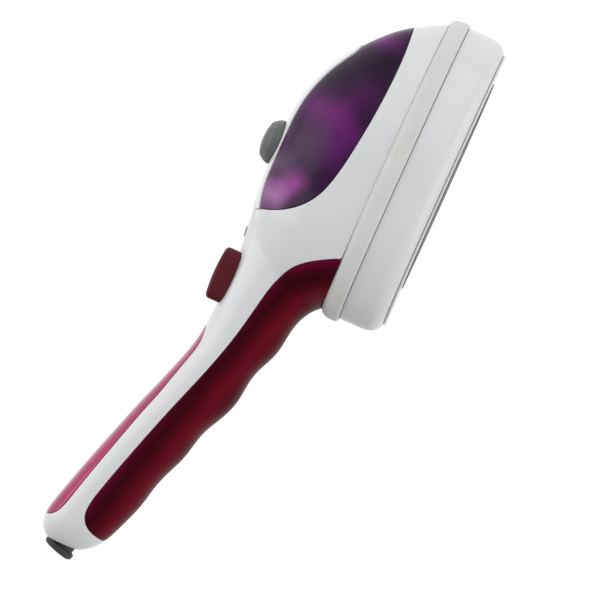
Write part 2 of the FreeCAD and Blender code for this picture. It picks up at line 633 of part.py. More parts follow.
# ---------------------------------------------------------------- indicator
lens = turned([(0, LENS_Z - 3.4), (2.4, LENS_Z - 3.4), (2.4, LENS_Z - 0.25), (2.2, LENS_Z + 0.2), (1.6, LENS_Z + 0.5),
               (0.8, LENS_Z + 0.62), (0, LENS_Z + 0.65)], (LENS_X, 0, 0))
NODES["indicator_lens"] = one(lens)
lamp = turned([(0, LENS_Z - 12.0), (2.6, LENS_Z - 12.0), (2.6, LENS_Z - 11.2), (1.5, LENS_Z - 11.2),
               (1.5, LENS_Z - 5.4), (1.2, LENS_Z - 4.4), (0.6, LENS_Z - 3.9), (0, LENS_Z - 3.8)], (LENS_X, 0, 0))
NODES["indicator_lamp"] = one(lamp)

# ---------------------------------------------------------------- collar
collar = egg_stack(COLLAR_PLAN, [(21.4, 2.0), (21.6, 1.4), (22.1, 0.8), (23.0, 0.25), (24.4, 0.0), (26.0, 0.08),
                                 (27.4, 0.45), (28.6, 1.1), (29.6, 2.0), (30.3, 2.95), (30.7, 4.0)])
collar = collar.cut(egg_plate(COLLAR_PLAN, 20, 32, inset=9.0))
step = egg_plate(COLLAR_PLAN, 18.6, 21.5, inset=5.0).cut(egg_plate(COLLAR_PLAN, 18, 22, inset=7.0))
rib = egg_plate(COLLAR_PLAN, 30.6, 32.6, inset=7.6).cut(egg_plate(COLLAR_PLAN, 30, 33, inset=9.0))
collar = collar.fuse([step, rib])
tabs = [cyl(4.4, (x, y, 27.0), (x, y, JOINT_Z - 0.02)) for x, y in FEET]
collar = collar.fuse(tabs)
for x, y in FEET:
    collar = collar.cut(cyl(1.6, (x, y, 20), (x, y, 40)))
    collar = collar.cut(cyl(4.6, (x, y, 10), (x, y, 27.0)))
    collar = collar.cut(cyl(3.6, (x, y, JOINT_Z - 0.02), (x, y, 40)))
    collar = collar.cut(box(x - 1.5, x + 1.5, *(sorted((y, math.copysign(60, y)))), JOINT_Z + 0.01, 40))
NODES["collar"] = one(collar)
NODES["collar_screws"] = group(*[screw((x, y, 26.98), (0, 0, 1), 10.0, 2.6, 1.8, 1.25) for x, y in FEET])

# ---------------------------------------------------------------- head cover, sole frame
cover = egg_plate(COVER_PLAN, COVER_Z[0], COVER_Z[1])
cover = cover.makeFillet(5.6, [e for e in cover.Edges if e.BoundBox.ZMax < COVER_Z[0] + 0.01])
bowl = egg_plate(COVER_PLAN, COVER_Z[0] + 2.2, COVER_Z[1] + 1, inset=2.3)
bowl = bowl.makeFillet(3.8, [e for e in bowl.Edges if e.BoundBox.ZMax < COVER_Z[0] + 2.3])
cover = cover.cut(bowl).cut(egg_plate(FRAME_PLAN, 0, 5, inset=2.6))
NODES["head_cover"] = one(cover)

frame = egg_plate(FRAME_PLAN, FRAME_Z[0], FRAME_Z[1] - 0.02)
frame = frame.fuse(egg_plate(FRAME_PLAN, FRAME_Z[1] - 0.1, 3.4, inset=2.8))
frame = frame.cut(egg_plate(PLATE_PLAN, -1, 5, xm=0, inset=-0.35))
LUGS = [(-56.0, 8.0), (-56.0, -8.0), (62.0, 0.0)]
frame = frame.fuse([cyl(3.2, (x, y, 3.3), (x, y, 9.0)) for x, y in LUGS])
frame = frame.cut([cyl(1.15, (x, y, 1.8), (x, y, 12)) for x, y in LUGS])
NODES["sole_frame"] = one(frame)

# ---------------------------------------------------------------- soleplate with its steam holes
plate = egg_plate(PLATE_PLAN, 0.0, PLATE_T, xm=0)
plate = plate.makeFillet(0.6, [e for e in plate.Edges if e.BoundBox.ZMax < 0.01])
HOLES = []
for inset, count, off in ((7.0, 26, 0.0), (12.5, 16, 0.5)):
    ring = egg_pts(PLATE_PLAN, 0, inset, k=count * 8)
    for i in range(count):
        HOLES.append(ring[int((i + off) * 8) % (count * 8)])
HOLES += [(x, 0.0) for x in (-26.0, -15.0, -5.0, 5.0, 15.0, 25.0, 35.0)]
plate = plate.cut([cyl(STEAM_HOLE_R, (x, y, -1), (x, y, 4)) for x, y in HOLES])
NODES["soleplate"] = one(plate)

# ---------------------------------------------------------------- heater casting and steam chamber
cast = egg_plate(PLATE_PLAN, PLATE_T, 15.0, xm=0, inset=2.4)
CORNERS = [(-27.0, 22.6), (-27.0, -22.6), (33.0, 20.6), (33.0, -20.6)]
cast = cast.fuse([cyl(4.0, (x, y, 5.0), (x, y, 15.0)) for x, y in CORNERS])
for x, y in LUGS:
    cast = cast.fuse(rounded_box(min(x, x * 0.62) - 3.4, max(x, x * 0.62) + 3.4, y - 3.6, y + 3.6, 9.05, 12.0, 3.0))
cast = cast.cut(egg_plate(PLATE_PLAN, PLATE_T - 1, 4.4, xm=0, inset=4.6))
cast = cast.cut(egg_plate(PLATE_PLAN, 7.2, 16, xm=0, inset=12.4))
for x, y in ((-28, 0), (-12, 6), (-12, -6), (8, 7), (8, -7), (26, 5), (26, -5), (38, 0)):
    cast = cast.cut(cyl(1.6, (x, y, 3), (x, y, 9)))
cast = cast.fuse([box(x - 0.8, x + 0.8, -6, 6, 7.1, 12.0) for x in (-20.0, 0.0, 17.0)])
cast = cast.cut([cyl(1.3, (x, y, 6.5), (x, y, 17)) for x, y in CORNERS])
cast = cast.cut([cyl(1.6, (x, y, 5), (x, y, 15)) for x, y in LUGS])

ring = sorted(egg_pts(PLATE_PLAN, 0, 7.4, k=56), key=lambda p: math.atan2(p[1], p[0]))
run = [p for p in ring if p[0] > -27][::3]
run = [p for p in run if p[1] < 0] + [(PLATE_PLAN[1] - 7.4, 0.0)] + [(x, -y) for x, y in run[::-1] if y < 0]
EL_X, EL_Z = -36.5, 9.0
half_path = [(EL_X, -9.5, 22.0), (EL_X, -9.5, 19.0), (EL_X, -9.6, 16.0), (EL_X + 0.4, -10.2, 12.6),
             (EL_X + 2.2, -11.6, 10.0), (EL_X + 5.4, -13.2, EL_Z)]
pts = half_path + [(x, y, EL_Z) for x, y in run] + [(x, -y, z) for x, y, z in half_path[::-1]]
element = smooth_bar(pts, 2.3)
cast = cast.cut(element)
NODES["heater_casting"] = one(cast)
term = []
for y in (-9.5, 9.5):
    term.append(cyl(1.0, (EL_X, y, 20.5), (EL_X, y, 23.0)))
    term.append(box(EL_X - 0.4, EL_X + 0.4, y - 3.1, y + 3.1, 22.6, 28.6))
NODES["heating_element"] = one(element.fuse(term))
NODES["heater_screws"] = group(*[screw((x, y, 12.02), (0, 0, -1), 9.6, 2.8, 1.9, 1.1) for x, y in LUGS])

gasket = egg_plate(PLATE_PLAN, 15.02, 15.8, xm=0, inset=8.6).cut(egg_plate(PLATE_PLAN, 14, 17, xm=0, inset=12.2))
NODES["chamber_gasket"] = one(gasket)
lid = egg_plate(PLATE_PLAN, 15.82, 17.0, xm=0, inset=8.4)
lid = lid.fuse([cyl(3.9, (x, y, 15.82), (x, y, 17.0)) for x, y in CORNERS])
for x, y in CORNERS:
    lid = lid.fuse(box(x - 3.4, x + 3.4, *sorted((y, y * 0.55)), 15.82, 17.0))
lid = lid.cut([cyl(1.6, (x, y, 14), (x, y, 20)) for x, y in CORNERS])
lid = lid.cut([cyl(3.0, (EL_X, y, 10), (EL_X, y, 30)) for y in (-9.5, 9.5)])
NOZ_X = 24.0
lid = lid.cut(cyl(3.0, (NOZ_X, 0, 10), (NOZ_X, 0, 30)))
NODES["chamber_cover"] = one(lid)
spacers = [tube(3.9, 1.6, (x, y, 15.02), (x, y, 15.8)) for x, y in CORNERS]
NODES["chamber_screws"] = group(*[screw((x, y, 17.02), (0, 0, -1), 9.4, 2.8, 1.9, 1.25) for x, y in CORNERS])
NODES["screw_spacers"] = group(*spacers)
noz = turned([(0.7, 13.6), (2.9, 13.6), (2.9, 17.02), (4.6, 17.02), (4.6, 19.2), (2.6, 19.2), (2.6, 20.6),
              (1.5, 20.6), (1.5, 25.4), (0.7, 25.4)], (NOZ_X, 0, 0))
NODES["inlet_nozzle"] = one(noz)
th = turned([(0, 17.02), (8.0, 17.02), (8.0, 18.2), (6.6, 18.2), (6.6, 23.6), (0, 23.6)], (-10.0, 0, 0))
th = th.fuse([box(-10.4, -9.6, y - 3.1, y + 3.1, 23.4, 30.0) for y in (-4.2, 4.2)])
th = th.fuse(box(-12.0, -8.0, -13.2, 13.2, 17.02, 17.9))
NODES["thermostat"] = one(th)
fuse = cyl(1.9, (8.0, -6.0, 18.95), (8.0, 6.0, 18.95))
fuse = fuse.fuse([cyl(0.5, (8.0, -13.5, 18.95), (8.0, -5.8, 18.95)), cyl(0.5, (8.0, 5.8, 18.95), (8.0, 13.5, 18.95))])
NODES["thermal_fuse"] = one(fuse)
clip = box(4.6, 11.4, -3.0, 3.0, 17.02, 21.7).cut(cyl(2.0, (8, -9, 18.95), (8, 9, 18.95)))
clip = clip.cut(box(4.0, 5.4, -4, 4, 17.8, 23)).cut(box(10.6, 12, -4, 4, 17.8, 23))
NODES["fuse_clip"] = one(clip)

shield = egg_plate(COLLAR_PLAN, 32.7, 33.9, inset=9.4)
for x, y in FEET:
    shield = shield.cut(cyl(4.0, (x, y, 30), (x, y, 40)))
    shield = shield.cut(box(x - 1.6, x + 1.6, *(sorted((y, math.copysign(60, y)))), 30, 40))
shield = shield.cut(rounded_box(NOZ_X - 16.0, NOZ_X + 5.0, -5.0, 4.0, 30, 40, 3.5))
shield = shield.cut(rounded_box(-50, -34, -14, 14, 30, 40, 4))
shield = shield.cut(cyl(7.0, (-62.0, -40, 40.0), (-62.0, 40, 40.0)))
shield = shield.common(in_shell)
NODES["heat_shield"] = one(shield)

# ---------------------------------------------------------------- water hoses
NODES["suction_tube"] = one(hose([(OUTLET[0], OUTLET[1], 43.0), (OUTLET[0], OUTLET[1], 40.6),
                                  (OUTLET[0] - 0.4, OUTLET[1], 39.4), (0.5, 8.2, 37.4), (-12.0, 8.6, 37.8),
                                  (-34.0, 7.6, 42.0), (-52.0, 4.4, 47.4), (-59.0, 3.4, 48.3), (-62.5, 3.4, 48.3),
                                  (PX + 10.7, 3.4, 48.3)], TUBE_R, TUBE_IN))
NODES["delivery_tube"] = one(hose([(NOZ_X, 0, 20.8), (NOZ_X, 0, 23.4), (NOZ_X, 0, 26.0), (22.4, -0.4, 31.4),
                                   (12.0, -2.6, 36.6), (-10.0, -6.0, 38.2), (-34.0, -7.0, 42.0), (-52.0, -4.4, 47.4),
                                   (-59.0, -3.4, 48.3), (-62.5, -3.4, 48.3), (PX + 10.7, -3.4, 48.3)],
                                  TUBE_R, TUBE_IN))

# ---------------------------------------------------------------- cord entry, clamp and terminals
gl = turned([(GLAND_BORE_R, -3.2), (6.6, -3.2), (7.6, -2.4), (7.6, -0.2), (6.1, 0.4), (6.1, 5.2), (7.2, 5.6),
             (7.2, 7.4), (GLAND_BORE_R, 7.4)], along(0), tuple(BACK * -1))
NODES["cord_gland"] = one(gl)
gl_room = cyl(7.5, along(5.2), along(7.8))
for name in ("left_shell", "right_shell"):
    s = NODES[name].cut(gl_room)
    s = s.cut(cyl(7.8, along(-12), along(0.3)))
    NODES[name] = one(s)


def handle_box(s0, s1, y0, y1, u0, u1):
    b = Part.makeBox(s1 - s0, y1 - y0, u1 - u0, V(s0, y0, u0))
    ang = math.degrees(math.atan2(-BACK.z, -BACK.x))
    b.Placement = FreeCAD.Placement(BUTT, FreeCAD.Rotation(V(0, 1, 0), -ang))
    return b


clamp = handle_box(22.0, 30.0, -9.5, 9.5, 0.5, 4.6)
clamp = clamp.cut(cyl(3.3, along(15), along(40)))
clamp = clamp.cut([cyl(1.4, along(26.0, y, -10), along(26.0, y, 10)) for y in (-7.0, 7.0)])
NODES["cord_clamp"] = one(clamp)
n_up = V(-BACK.z, 0, BACK.x) * -1
seat = handle_box(21.0, 31.0, -11.5, 11.5, -9.0, 0.2).cut(cyl(3.3, along(10), along(40)))
NODES["clamp_screws"] = group(*[screw(along(26.0, y, 4.65), tuple(n_up * -1), 9.0, 2.2, 1.5, 1.1)
                                for y in (-7.0, 7.0)])
seat = seat.cut([cyl(1.15, along(26.0, y, -6), along(26.0, y, 3)) for y in (-7.0, 7.0)])
seat_r = seat.common(box(-260, 0, -60, 0, 0, 150))
seat_l = seat.common(box(-260, 0, 0, 60, 0, 150))
tb = handle_box(44.0, 56.0, -9.0, 9.0, -4.0, 4.0)
tb = tb.cut([cyl(1.5, along(40, y, -0.8), along(60, y, -0.8)) for y in (-5.6, 0, 5.6)])
tb = tb.cut([cyl(1.7, along(47.0, y, 0.8), along(47.0, y, 9)) for y in (-5.6, 0, 5.6)])
tb = tb.cut([cyl(1.7, along(53.0, y, 0.8), along(53.0, y, 9)) for y in (-5.6, 0, 5.6)])
NODES["terminal_block"] = one(tb)
NODES["terminal_screws"] = group(*[turned([(0, 0), (1.6, 0), (1.6, 2.4), (0, 2.4)], along(s, y, 1.0), tuple(n_up))
                                   for y in (-5.6, 0, 5.6) for s in (47.0, 53.0)])
for name, st in (("left_shell", seat_l), ("right_shell", seat_r)):
    NODES[name] = one(NODES[name].fuse(st.common(in_over)))

# leads from the terminals: live to thermostat, neutral to fuse, both to the element
wires = []
routes = [
    [along(56.2, 5.6, -0.8), along(62, 5.6, -0.8), (-130, 8.0, 71.4), (-112, 10.0, 63.0), (-96, 11.0, 57.4),
     (-76, 12.0, 53.6), (-60, 12.2, 50.0), (-47, 11.0, 42.5), (-38.4, 9.5, 35.5), (EL_X, 9.5, 32.0),
     (EL_X, 9.5, 28.7)],
    [along(56.2, -5.6, -0.8), along(62, -5.6, -0.8), (-130, -8.0, 71.4), (-112, -10.0, 63.0), (-96, -11.0, 57.4),
     (-76, -12.0, 53.6), (-60, -12.2, 50.0), (-47, -11.0, 42.5), (-38.4, -9.5, 35.5), (EL_X, -9.5, 32.0),
     (EL_X, -9.5, 28.7)],
]
for r in routes:
    wires.append(smooth_bar(r, 1.1))
NODES["lead_wires"] = group(*wires)

# ---------------------------------------------------------------- housing screws
NODES["housing_screws"] = group(*[screw((x, 16.52 if abs(x + 62) < 1 else 9.52, z), (0, -1, 0),
                                        24.0 if abs(x + 62) < 1 else 17.0, 2.8, 2.0, 1.25) for x, z in POSTS])

# ---------------------------------------------------------------- write the pieces
os.makedirs("parts", exist_ok=True)
for name, shape in NODES.items():
    shape.exportStep(os.path.join("parts", name + ".step"))
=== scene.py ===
import bpy
import math
import numpy as np
from mathutils import Matrix, Vector, geometry


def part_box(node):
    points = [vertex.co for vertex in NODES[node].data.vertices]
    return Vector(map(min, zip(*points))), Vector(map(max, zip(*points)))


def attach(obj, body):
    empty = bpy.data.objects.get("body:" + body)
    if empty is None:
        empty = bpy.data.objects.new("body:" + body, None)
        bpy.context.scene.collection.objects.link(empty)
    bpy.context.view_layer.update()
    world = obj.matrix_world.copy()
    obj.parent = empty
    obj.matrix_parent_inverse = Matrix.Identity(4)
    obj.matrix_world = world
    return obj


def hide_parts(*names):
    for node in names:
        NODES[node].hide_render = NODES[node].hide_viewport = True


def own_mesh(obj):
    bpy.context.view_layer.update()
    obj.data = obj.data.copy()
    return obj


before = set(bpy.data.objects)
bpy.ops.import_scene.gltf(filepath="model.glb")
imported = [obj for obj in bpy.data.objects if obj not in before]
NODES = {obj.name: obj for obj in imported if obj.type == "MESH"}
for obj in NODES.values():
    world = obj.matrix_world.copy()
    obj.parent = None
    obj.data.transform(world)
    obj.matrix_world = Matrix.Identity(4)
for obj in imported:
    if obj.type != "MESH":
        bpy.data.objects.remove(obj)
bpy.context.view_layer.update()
MM = 0.001

# ================================================================= curves of the body (mm)
BUTT_X, BUTT_ROUND = -224.0, 18.0
JOINT_Z = 30.45
BUTTON_X, BUTTON_L, BUTTON_W, BUTTON_TOP = -76.5, 26.0, 15.0, 84.4
PLUG_X, PLUG_R = -9.5, 11.0
SPINE_X, SPINE_HALF = (-42.0, 48.5), 12.5
LENS_X = -53.6


class Line:
    """Natural cubic through (x, y) points, straight beyond its ends."""

    def __init__(self, pts):
        self.x = np.array([p[0] for p in pts], float)
        self.y = np.array([p[1] for p in pts], float)
        n = len(pts)
        h = np.diff(self.x)
        a = np.zeros((n, n))
        d = np.zeros(n)
        a[0, 0] = a[-1, -1] = 1.0
        for i in range(1, n - 1):
            a[i, i - 1], a[i, i], a[i, i + 1] = h[i - 1], 2 * (h[i - 1] + h[i]), h[i]
            d[i] = 6 * ((self.y[i + 1] - self.y[i]) / h[i] - (self.y[i] - self.y[i - 1]) / h[i - 1])
        self.m = np.linalg.solve(a, d)
        self.h = h
        m, y = self.m, self.y
        self.s0 = (y[1] - y[0]) / h[0] - h[0] * (2 * m[0] + m[1]) / 6
        self.s1 = (y[-1] - y[-2]) / h[-1] + h[-1] * (m[-2] + 2 * m[-1]) / 6

    def __call__(self, x):
        x = np.asarray(x, float)
        k = np.clip(np.searchsorted(self.x, x) - 1, 0, len(self.h) - 1)
        t, u, h = x - self.x[k], self.x[k + 1] - x, self.h[k]
        m, y = self.m, self.y
        v = ((m[k] * u ** 3 + m[k + 1] * t ** 3) / (6 * h) + (y[k] / h - m[k] * h / 6) * u
             + (y[k + 1] / h - m[k + 1] * h / 6) * t)
        v = np.where(x < self.x[0], y[0] + self.s0 * (x - self.x[0]), v)
        return np.where(x > self.x[-1], y[-1] + self.s1 * (x - self.x[-1]), v)


def closing(t, n):
    t = np.clip(t, 0.0, 1.0)
    return (1.0 - t ** n) ** (1.0 / n)


top_line = Line([(-230, 113.4), (-215, 110.8), (-200, 107.0), (-185, 102.7), (-170, 98.1),
                 (-155, 93.3), (-147, 90.7), (-140, 88.2), (-130, 84.7), (-120, 81.4),
                 (-112, 79.1), (-105, 77.8), (-98, 77.1), (-90, 76.8), (-76, 76.8), (-62, 77.3),
                 (-52, 78.3), (-42, 79.6), (-30, 80.7), (-18, 81.3), (-4, 81.4), (6, 81.1),
                 (15, 79.9), (24, 77.4), (33, 73.6), (41, 69.0), (49, 63.4), (56, 57.3),
                 (62, 50.9), (67, 43.8), (71.5, 36.0), (75, 29.0), (77.5, 24.0)])
under_line = Line([(-230, 83.5), (-220, 80.2), (-210, 76.8), (-204, 74.5), (-198, 72.2),
                   (-192, 70.2), (-186, 68.8), (-180, 67.4), (-174, 65.4), (-168, 62.9),
                   (-162, 60.7), (-156, 59.3), (-150, 57.8), (-145, 55.8), (-140, 53.2),
                   (-135, 50.9), (-130, 49.2), (-125, 48.3), (-120, 47.8), (-116, 47.2),
                   (-112, 46.1), (-108, 44.5), (-104, 42.7), (-100, 41.3), (-95, 40.3),
                   (-90, 39.7), (-86, 39.0), (-82, 37.8), (-78, 35.9), (-75, 33.8),
                   (-72.5, 31.3), (-70, 28.2), (-66, 22.4), (-62, 17.0), (-58, 13.2),
                   (-54, 11.2), (-50, 10.3), (-44, 10), (-30, 10), (0, 10), (40, 10), (78, 10)])
mid_line = Line([(-230, 98.5), (-200, 89.7), (-170, 80.4), (-145, 72.8), (-120, 64.8),
                 (-105, 60.6), (-90, 57.8), (-80, 56), (-72, 52.8), (-64, 47.5), (-56, 40.5),
                 (-48, 33.6), (-40, 28.8), (-30, 26.4), (-20, 26), (0, 26), (50, 26), (62, 25),
                 (70, 22), (78, 17)])
handle_half = Line([(-230, 15.6), (-206, 15.9), (-190, 16.7), (-170, 17.5), (-150, 17.7),
                    (-130, 17.3), (-110, 17.0), (-95, 17.1), (-80, 17.8), (-70, 18.2),
                    (-60, 18.0), (-50, 16.8), (-40, 14.6), (-25, 9.5), (-12, 4.0), (-4, 0.8),
                    (0, 0.0), (10, 0.0), (40, 0), (80, 0)])
OUTLINE_X, OUTLINE_N = -18.0, 2.2
DOME_PLAN = (55.6, 95.2, 34.6)
DOME_N, HANDLE_N, BLEND_P = 2.3, 2.3, 3.0
HEEL_X0, HEEL_R, HEEL_N = -22.0, 52.0, 2.2


def dome_half(x):
    a = np.where(x < OUTLINE_X, DOME_PLAN[0], DOME_PLAN[1])
    return DOME_PLAN[2] * closing(np.abs(x - OUTLINE_X) / a, OUTLINE_N)


def dome_top(x):
    return np.where(x >= HEEL_X0, top_line(x),
                    26.0 + (float(top_line(HEEL_X0)) - 26.0) * closing((HEEL_X0 - x) / HEEL_R, HEEL_N))


def frame_of(x):
    zt, zb, zm = top_line(x), under_line(x), mid_line(x)
    wh = np.maximum(0.0, handle_half(x))
    k = closing((BUTT_X + BUTT_ROUND - x) / BUTT_ROUND, 2.5)
    return zm + (zt - zm) * k, zm + (zb - zm) * k, zm, wh * k


def width(x, z):
    """Half-width of the body at side-view point (x, z)."""
    zt, zb, zm, wh = frame_of(x)
    wd, zd = dome_half(x), dome_top(x)
    low = np.where(z < zm, closing((zm - z) / np.maximum(zm - zb, 1e-6), HANDLE_N), 1.0)
    up = np.where(z > zm, closing((z - zm) / np.maximum(zt - zm, 1e-6), HANDLE_N), 1.0)
    h = wh * up * low
    over = closing((z - 26.0) / np.maximum(zd - 26.0, 1e-6), DOME_N)
    e = np.where((z < zd) & (zd > 26.0), wd * low * np.where(z > 26.0, over, 1.0), 0.0)
    return (h ** BLEND_P + e ** BLEND_P) ** (1.0 / BLEND_P)


def crown(x, y):
    """Height of the body's top surface above plan point (x, y)."""
    x, y = np.asarray(x, float), np.abs(np.asarray(y, float))
    hi, lo = frame_of(x)[0], np.maximum(mid_line(x), 27.0)
    lo = np.broadcast_to(lo, np.broadcast(x, y).shape).copy()
    hi = np.broadcast_to(hi, lo.shape).copy()
    for _ in range(40):
        m = (lo + hi) / 2
        inside = width(x, m) > y
        lo, hi = np.where(inside, m, lo), np.where(inside, hi, m)
    return (lo + hi) / 2


# ================================================================= seams in side view (mm)
GRIP_SEAM = [(-44.5, 20.0), (-46.6, 27.0), (-48.6, 32.6), (-50.5, 36.4), (-53.5, 41.6), (-57.0, 46.4),
             (-61.0, 50.3), (-66.0, 53.2), (-72.0, 55.5), (-80.0, 57.3), (-90.0, 59.2), (-100.0, 61.3),
             (-110.0, 63.9), (-120.0, 66.9), (-130.0, 70.2), (-140.0, 73.6), (-150.0, 76.9),
             (-165.0, 81.6), (-180.0, 86.1), (-192.0, 89.5), (-200.0, 91.2), (-205.5, 91.0),
             (-209.5, 88.6), (-212.3, 84.0), (-214.0, 77.0), (-214.8, 68.0)]
INLAY_SEAM = [(-98.6, 80.5), (-99.8, 78.2), (-101.8, 76.8), (-105.0, 76.1), (-110.0, 75.9),
              (-115.0, 76.8), (-120.0, 78.1), (-125.0, 79.5), (-130.0, 80.9), (-135.0, 82.2),
              (-140.0, 83.6), (-148.0, 86.2), (-160.0, 89.8), (-175.0, 94.1), (-190.0, 98.3),
              (-200.0, 100.9), (-206.0, 102.7), (-210.0, 105.0), (-212.5, 109.0), (-213.5, 115.0)]
TANK_SEAM = [(-42.6, 84.0), (-42.0, 79.0), (-41.0, 74.0), (-39.0, 68.0), (-36.0, 62.4), (-31.0, 56.6),
             (-25.0, 52.4), (-15.0, 48.9), (0.0, 46.2), (20.0, 44.0), (40.0, 43.1), (52.0, 43.4),
             (64.0, 44.8), (72.0, 46.4), (80.0, 48.4)]


def smooth_curve(pts, n=420):
    p = np.array(pts, float)
    s = np.concatenate([[0], np.cumsum(np.hypot(*np.diff(p, axis=0).T))])
    cx, cz = Line(list(zip(s, p[:, 0]))), Line(list(zip(s, p[:, 1])))
    t = np.linspace(0, s[-1], n)
    return np.stack([cx(t), cz(t)], 1)


GRIP_C, INLAY_C, TANK_C = smooth_curve(GRIP_SEAM), smooth_curve(INLAY_SEAM), smooth_curve(TANK_SEAM)


def curve_field(p2, curve):
    """Signed distance to an open side-view curve, positive on its left, and its gradient."""
    a, b = curve[:-1], curve[1:]
    ab = b - a
    L2 = (ab ** 2).sum(1)
    dist = np.full(len(p2), 1e9)
    sign = np.ones(len(p2))
    near = np.zeros((len(p2), 2))
    for i0 in range(0, len(p2), 20000):
        q = p2[i0:i0 + 20000]
        ap = q[:, None, :] - a[None]
        t = np.clip((ap * ab[None]).sum(2) / L2, 0, 1)
        c = a[None] + t[..., None] * ab[None]
        d2 = ((q[:, None, :] - c) ** 2).sum(2)
        k = d2.argmin(1)
        r = np.arange(len(q))
        near[i0:i0 + 20000] = c[r, k]
        dist[i0:i0 + 20000] = np.sqrt(d2[r, k])
        cr = ab[k, 0] * ap[r, k, 1] - ab[k, 1] * ap[r, k, 0]
        sign[i0:i0 + 20000] = np.where(cr >= 0, 1.0, -1.0)
    g = (p2 - near) / np.maximum(dist, 1e-9)[:, None] * sign[:, None]
    return dist * sign, g


def slab_field(u, v, hu, hv, r):
    """Rounded rectangle: distance inside it, and gradient."""
    qx, qy = np.abs(u) - hu + r, np.abs(v) - hv + r
    ox, oy = np.maximum(qx, 0), np.maximum(qy, 0)
    L = np.hypot(ox, oy)
    d = L + np.minimum(np.maximum(qx, qy), 0) - r
    inner = (qx <= 0) & (qy <= 0)
    gx = np.where(inner, (qx > qy).astype(float), ox / np.maximum(L, 1e-9)) * np.sign(u)
    gy = np.where(inner, (qy >= qx).astype(float), oy / np.maximum(L, 1e-9)) * np.sign(v)
    return -d, np.stack([-gx, -gy], 1)


AX_DZ = float((mid_line(-224.0) - mid_line(-206.0)) / -18.0)
BACK = np.array([-1.0, 0, -AX_DZ]) / math.hypot(1.0, AX_DZ)
BUTT = np.array([-224.0, 0, float(mid_line(-224.0))])

FAR = -60.0


def field(name, P):
    """(distance inside, 3-D gradient) of a zone at points P."""
    z3 = np.zeros(len(P))
    if name in ("grip", "inlay", "tank"):
        c, s = {"grip": (GRIP_C, 1), "inlay": (INLAY_C, -1), "tank": (TANK_C, 1)}[name]
        d, g = curve_field(P[:, [0, 2]], c)
        return d * s, np.stack([g[:, 0] * s, z3, g[:, 1] * s], 1)
    if name == "floor":
        return P[:, 2] - JOINT_Z, np.tile([0.0, 0, 1.0], (len(P), 1))
    if name == "left":
        return P[:, 1] - 0.05, np.tile([0, 1.0, 0], (len(P), 1))
    if name == "right":
        return -P[:, 1] - 0.05, np.tile([0, -1.0, 0], (len(P), 1))
    if name == "spine":
        cx = (SPINE_X[0] + SPINE_X[1]) / 2
        d, g = slab_field(P[:, 0] - cx, P[:, 1], (SPINE_X[1] - SPINE_X[0]) / 2, SPINE_HALF,
                          np.where(P[:, 0] > cx, 8.0, 1.2))
        d = np.where(P[:, 2] < 52, FAR, d)
        return d, np.stack([g[:, 0], g[:, 1], z3], 1)
    if name == "button":
        d, g = slab_field(P[:, 0] - BUTTON_X, P[:, 1], BUTTON_L / 2 + 0.3, BUTTON_W / 2 + 0.3, 3.8)
        return np.where(P[:, 2] < 66, FAR, d), np.stack([g[:, 0], g[:, 1], z3], 1)
    if name == "lens":
        u, v = (P[:, 0] - LENS_X) / 1.3, P[:, 1]
        r = np.maximum(np.hypot(u, v), 1e-6)
        return np.where(P[:, 2] < 66, FAR, 2.5 - r), np.stack([-u / r, -v / r, z3], 1)
    if name == "filler":
        u, v = P[:, 0] - PLUG_X, P[:, 1]
        r = np.maximum(np.hypot(u, v), 1e-6)
        return np.where(P[:, 2] < 66, FAR, 10.0 - r), np.stack([-u / r, -v / r, z3], 1)
    if name == "gland":
        w = P - BUTT
        w = w - (w @ BACK)[:, None] * BACK
        r = np.maximum(np.sqrt((w ** 2).sum(1)), 1e-6)
        return np.where(P[:, 0] > -205, FAR, 7.75 - r), -w / r[:, None]
    raise KeyError(name)


# ================================================================= the skin as a fine grid
def build_grid(step, k):
    xs = [BUTT_X + BUTT_ROUND * s * s for s in np.linspace(0.03, 1.0, int(26 / step))]
    n = int((60.0 - (BUTT_X + BUTT_ROUND)) / step)
    xs += list(np.linspace(BUTT_X + BUTT_ROUND, 60.0, n + 1)[1:])
    xs += list(np.linspace(60.0, 77.0, int(17 / (step * 0.55)) + 1)[1:])
    xs = np.array(xs)
    zt, zb, zm, wh = frame_of(xs)
    th = np.linspace(0, math.pi, 361)
    c = np.cos(th)[None]
    z = zm[:, None] - np.where(th[None] < math.pi / 2, (zm - zb)[:, None], (zt - zm)[:, None]) * c
    X = np.broadcast_to(xs[:, None], z.shape)
    y = width(X, z)
    y[:, 0] = y[:, -1] = 0.0
    rows = []
    for i in range(len(xs)):
        s = np.concatenate([[0], np.cumsum(np.hypot(np.diff(y[i]), np.diff(z[i])))])
        t = np.linspace(0, s[-1], k + 1)
        hy, hz = np.interp(t, s, y[i]), np.interp(t, s, z[i])
        rows.append(np.stack([np.full(2 * k, xs[i]), np.concatenate([hy, -hy[-2:0:-1]]),
                              np.concatenate([hz, hz[-2:0:-1]])], 1))
    P = np.array(rows)
    du = np.gradient(P, axis=0)
    dv = np.roll(P, -1, 1) - np.roll(P, 1, 1)
    N = np.cross(dv, du)
    N /= np.maximum(np.linalg.norm(N, axis=2), 1e-9)[..., None]
    mid = P.mean(1, keepdims=True)
    if ((N * (P - mid)).sum(2) > 0).mean() < 0.5:
        N = -N
    n0, m = P.shape[:2]
    idx = np.arange(n0 * m).reshape(n0, m)
    a, b = idx[:-1], idx[1:]
    a2, b2 = np.roll(a, -1, 1), np.roll(b, -1, 1)
    T = np.concatenate([np.stack([a, b, b2], -1).reshape(-1, 3), np.stack([a, b2, a2], -1).reshape(-1, 3)])
    P, N = P.reshape(-1, 3), N.reshape(-1, 3)
    fn = np.cross(P[T[:, 1]] - P[T[:, 0]], P[T[:, 2]] - P[T[:, 0]])
    if (fn * N[T[:, 0]]).sum() < 0:
        T = T[:, ::-1].copy()
    return P, N, T


GRID = build_grid(0.85, 84)
_cache = {}


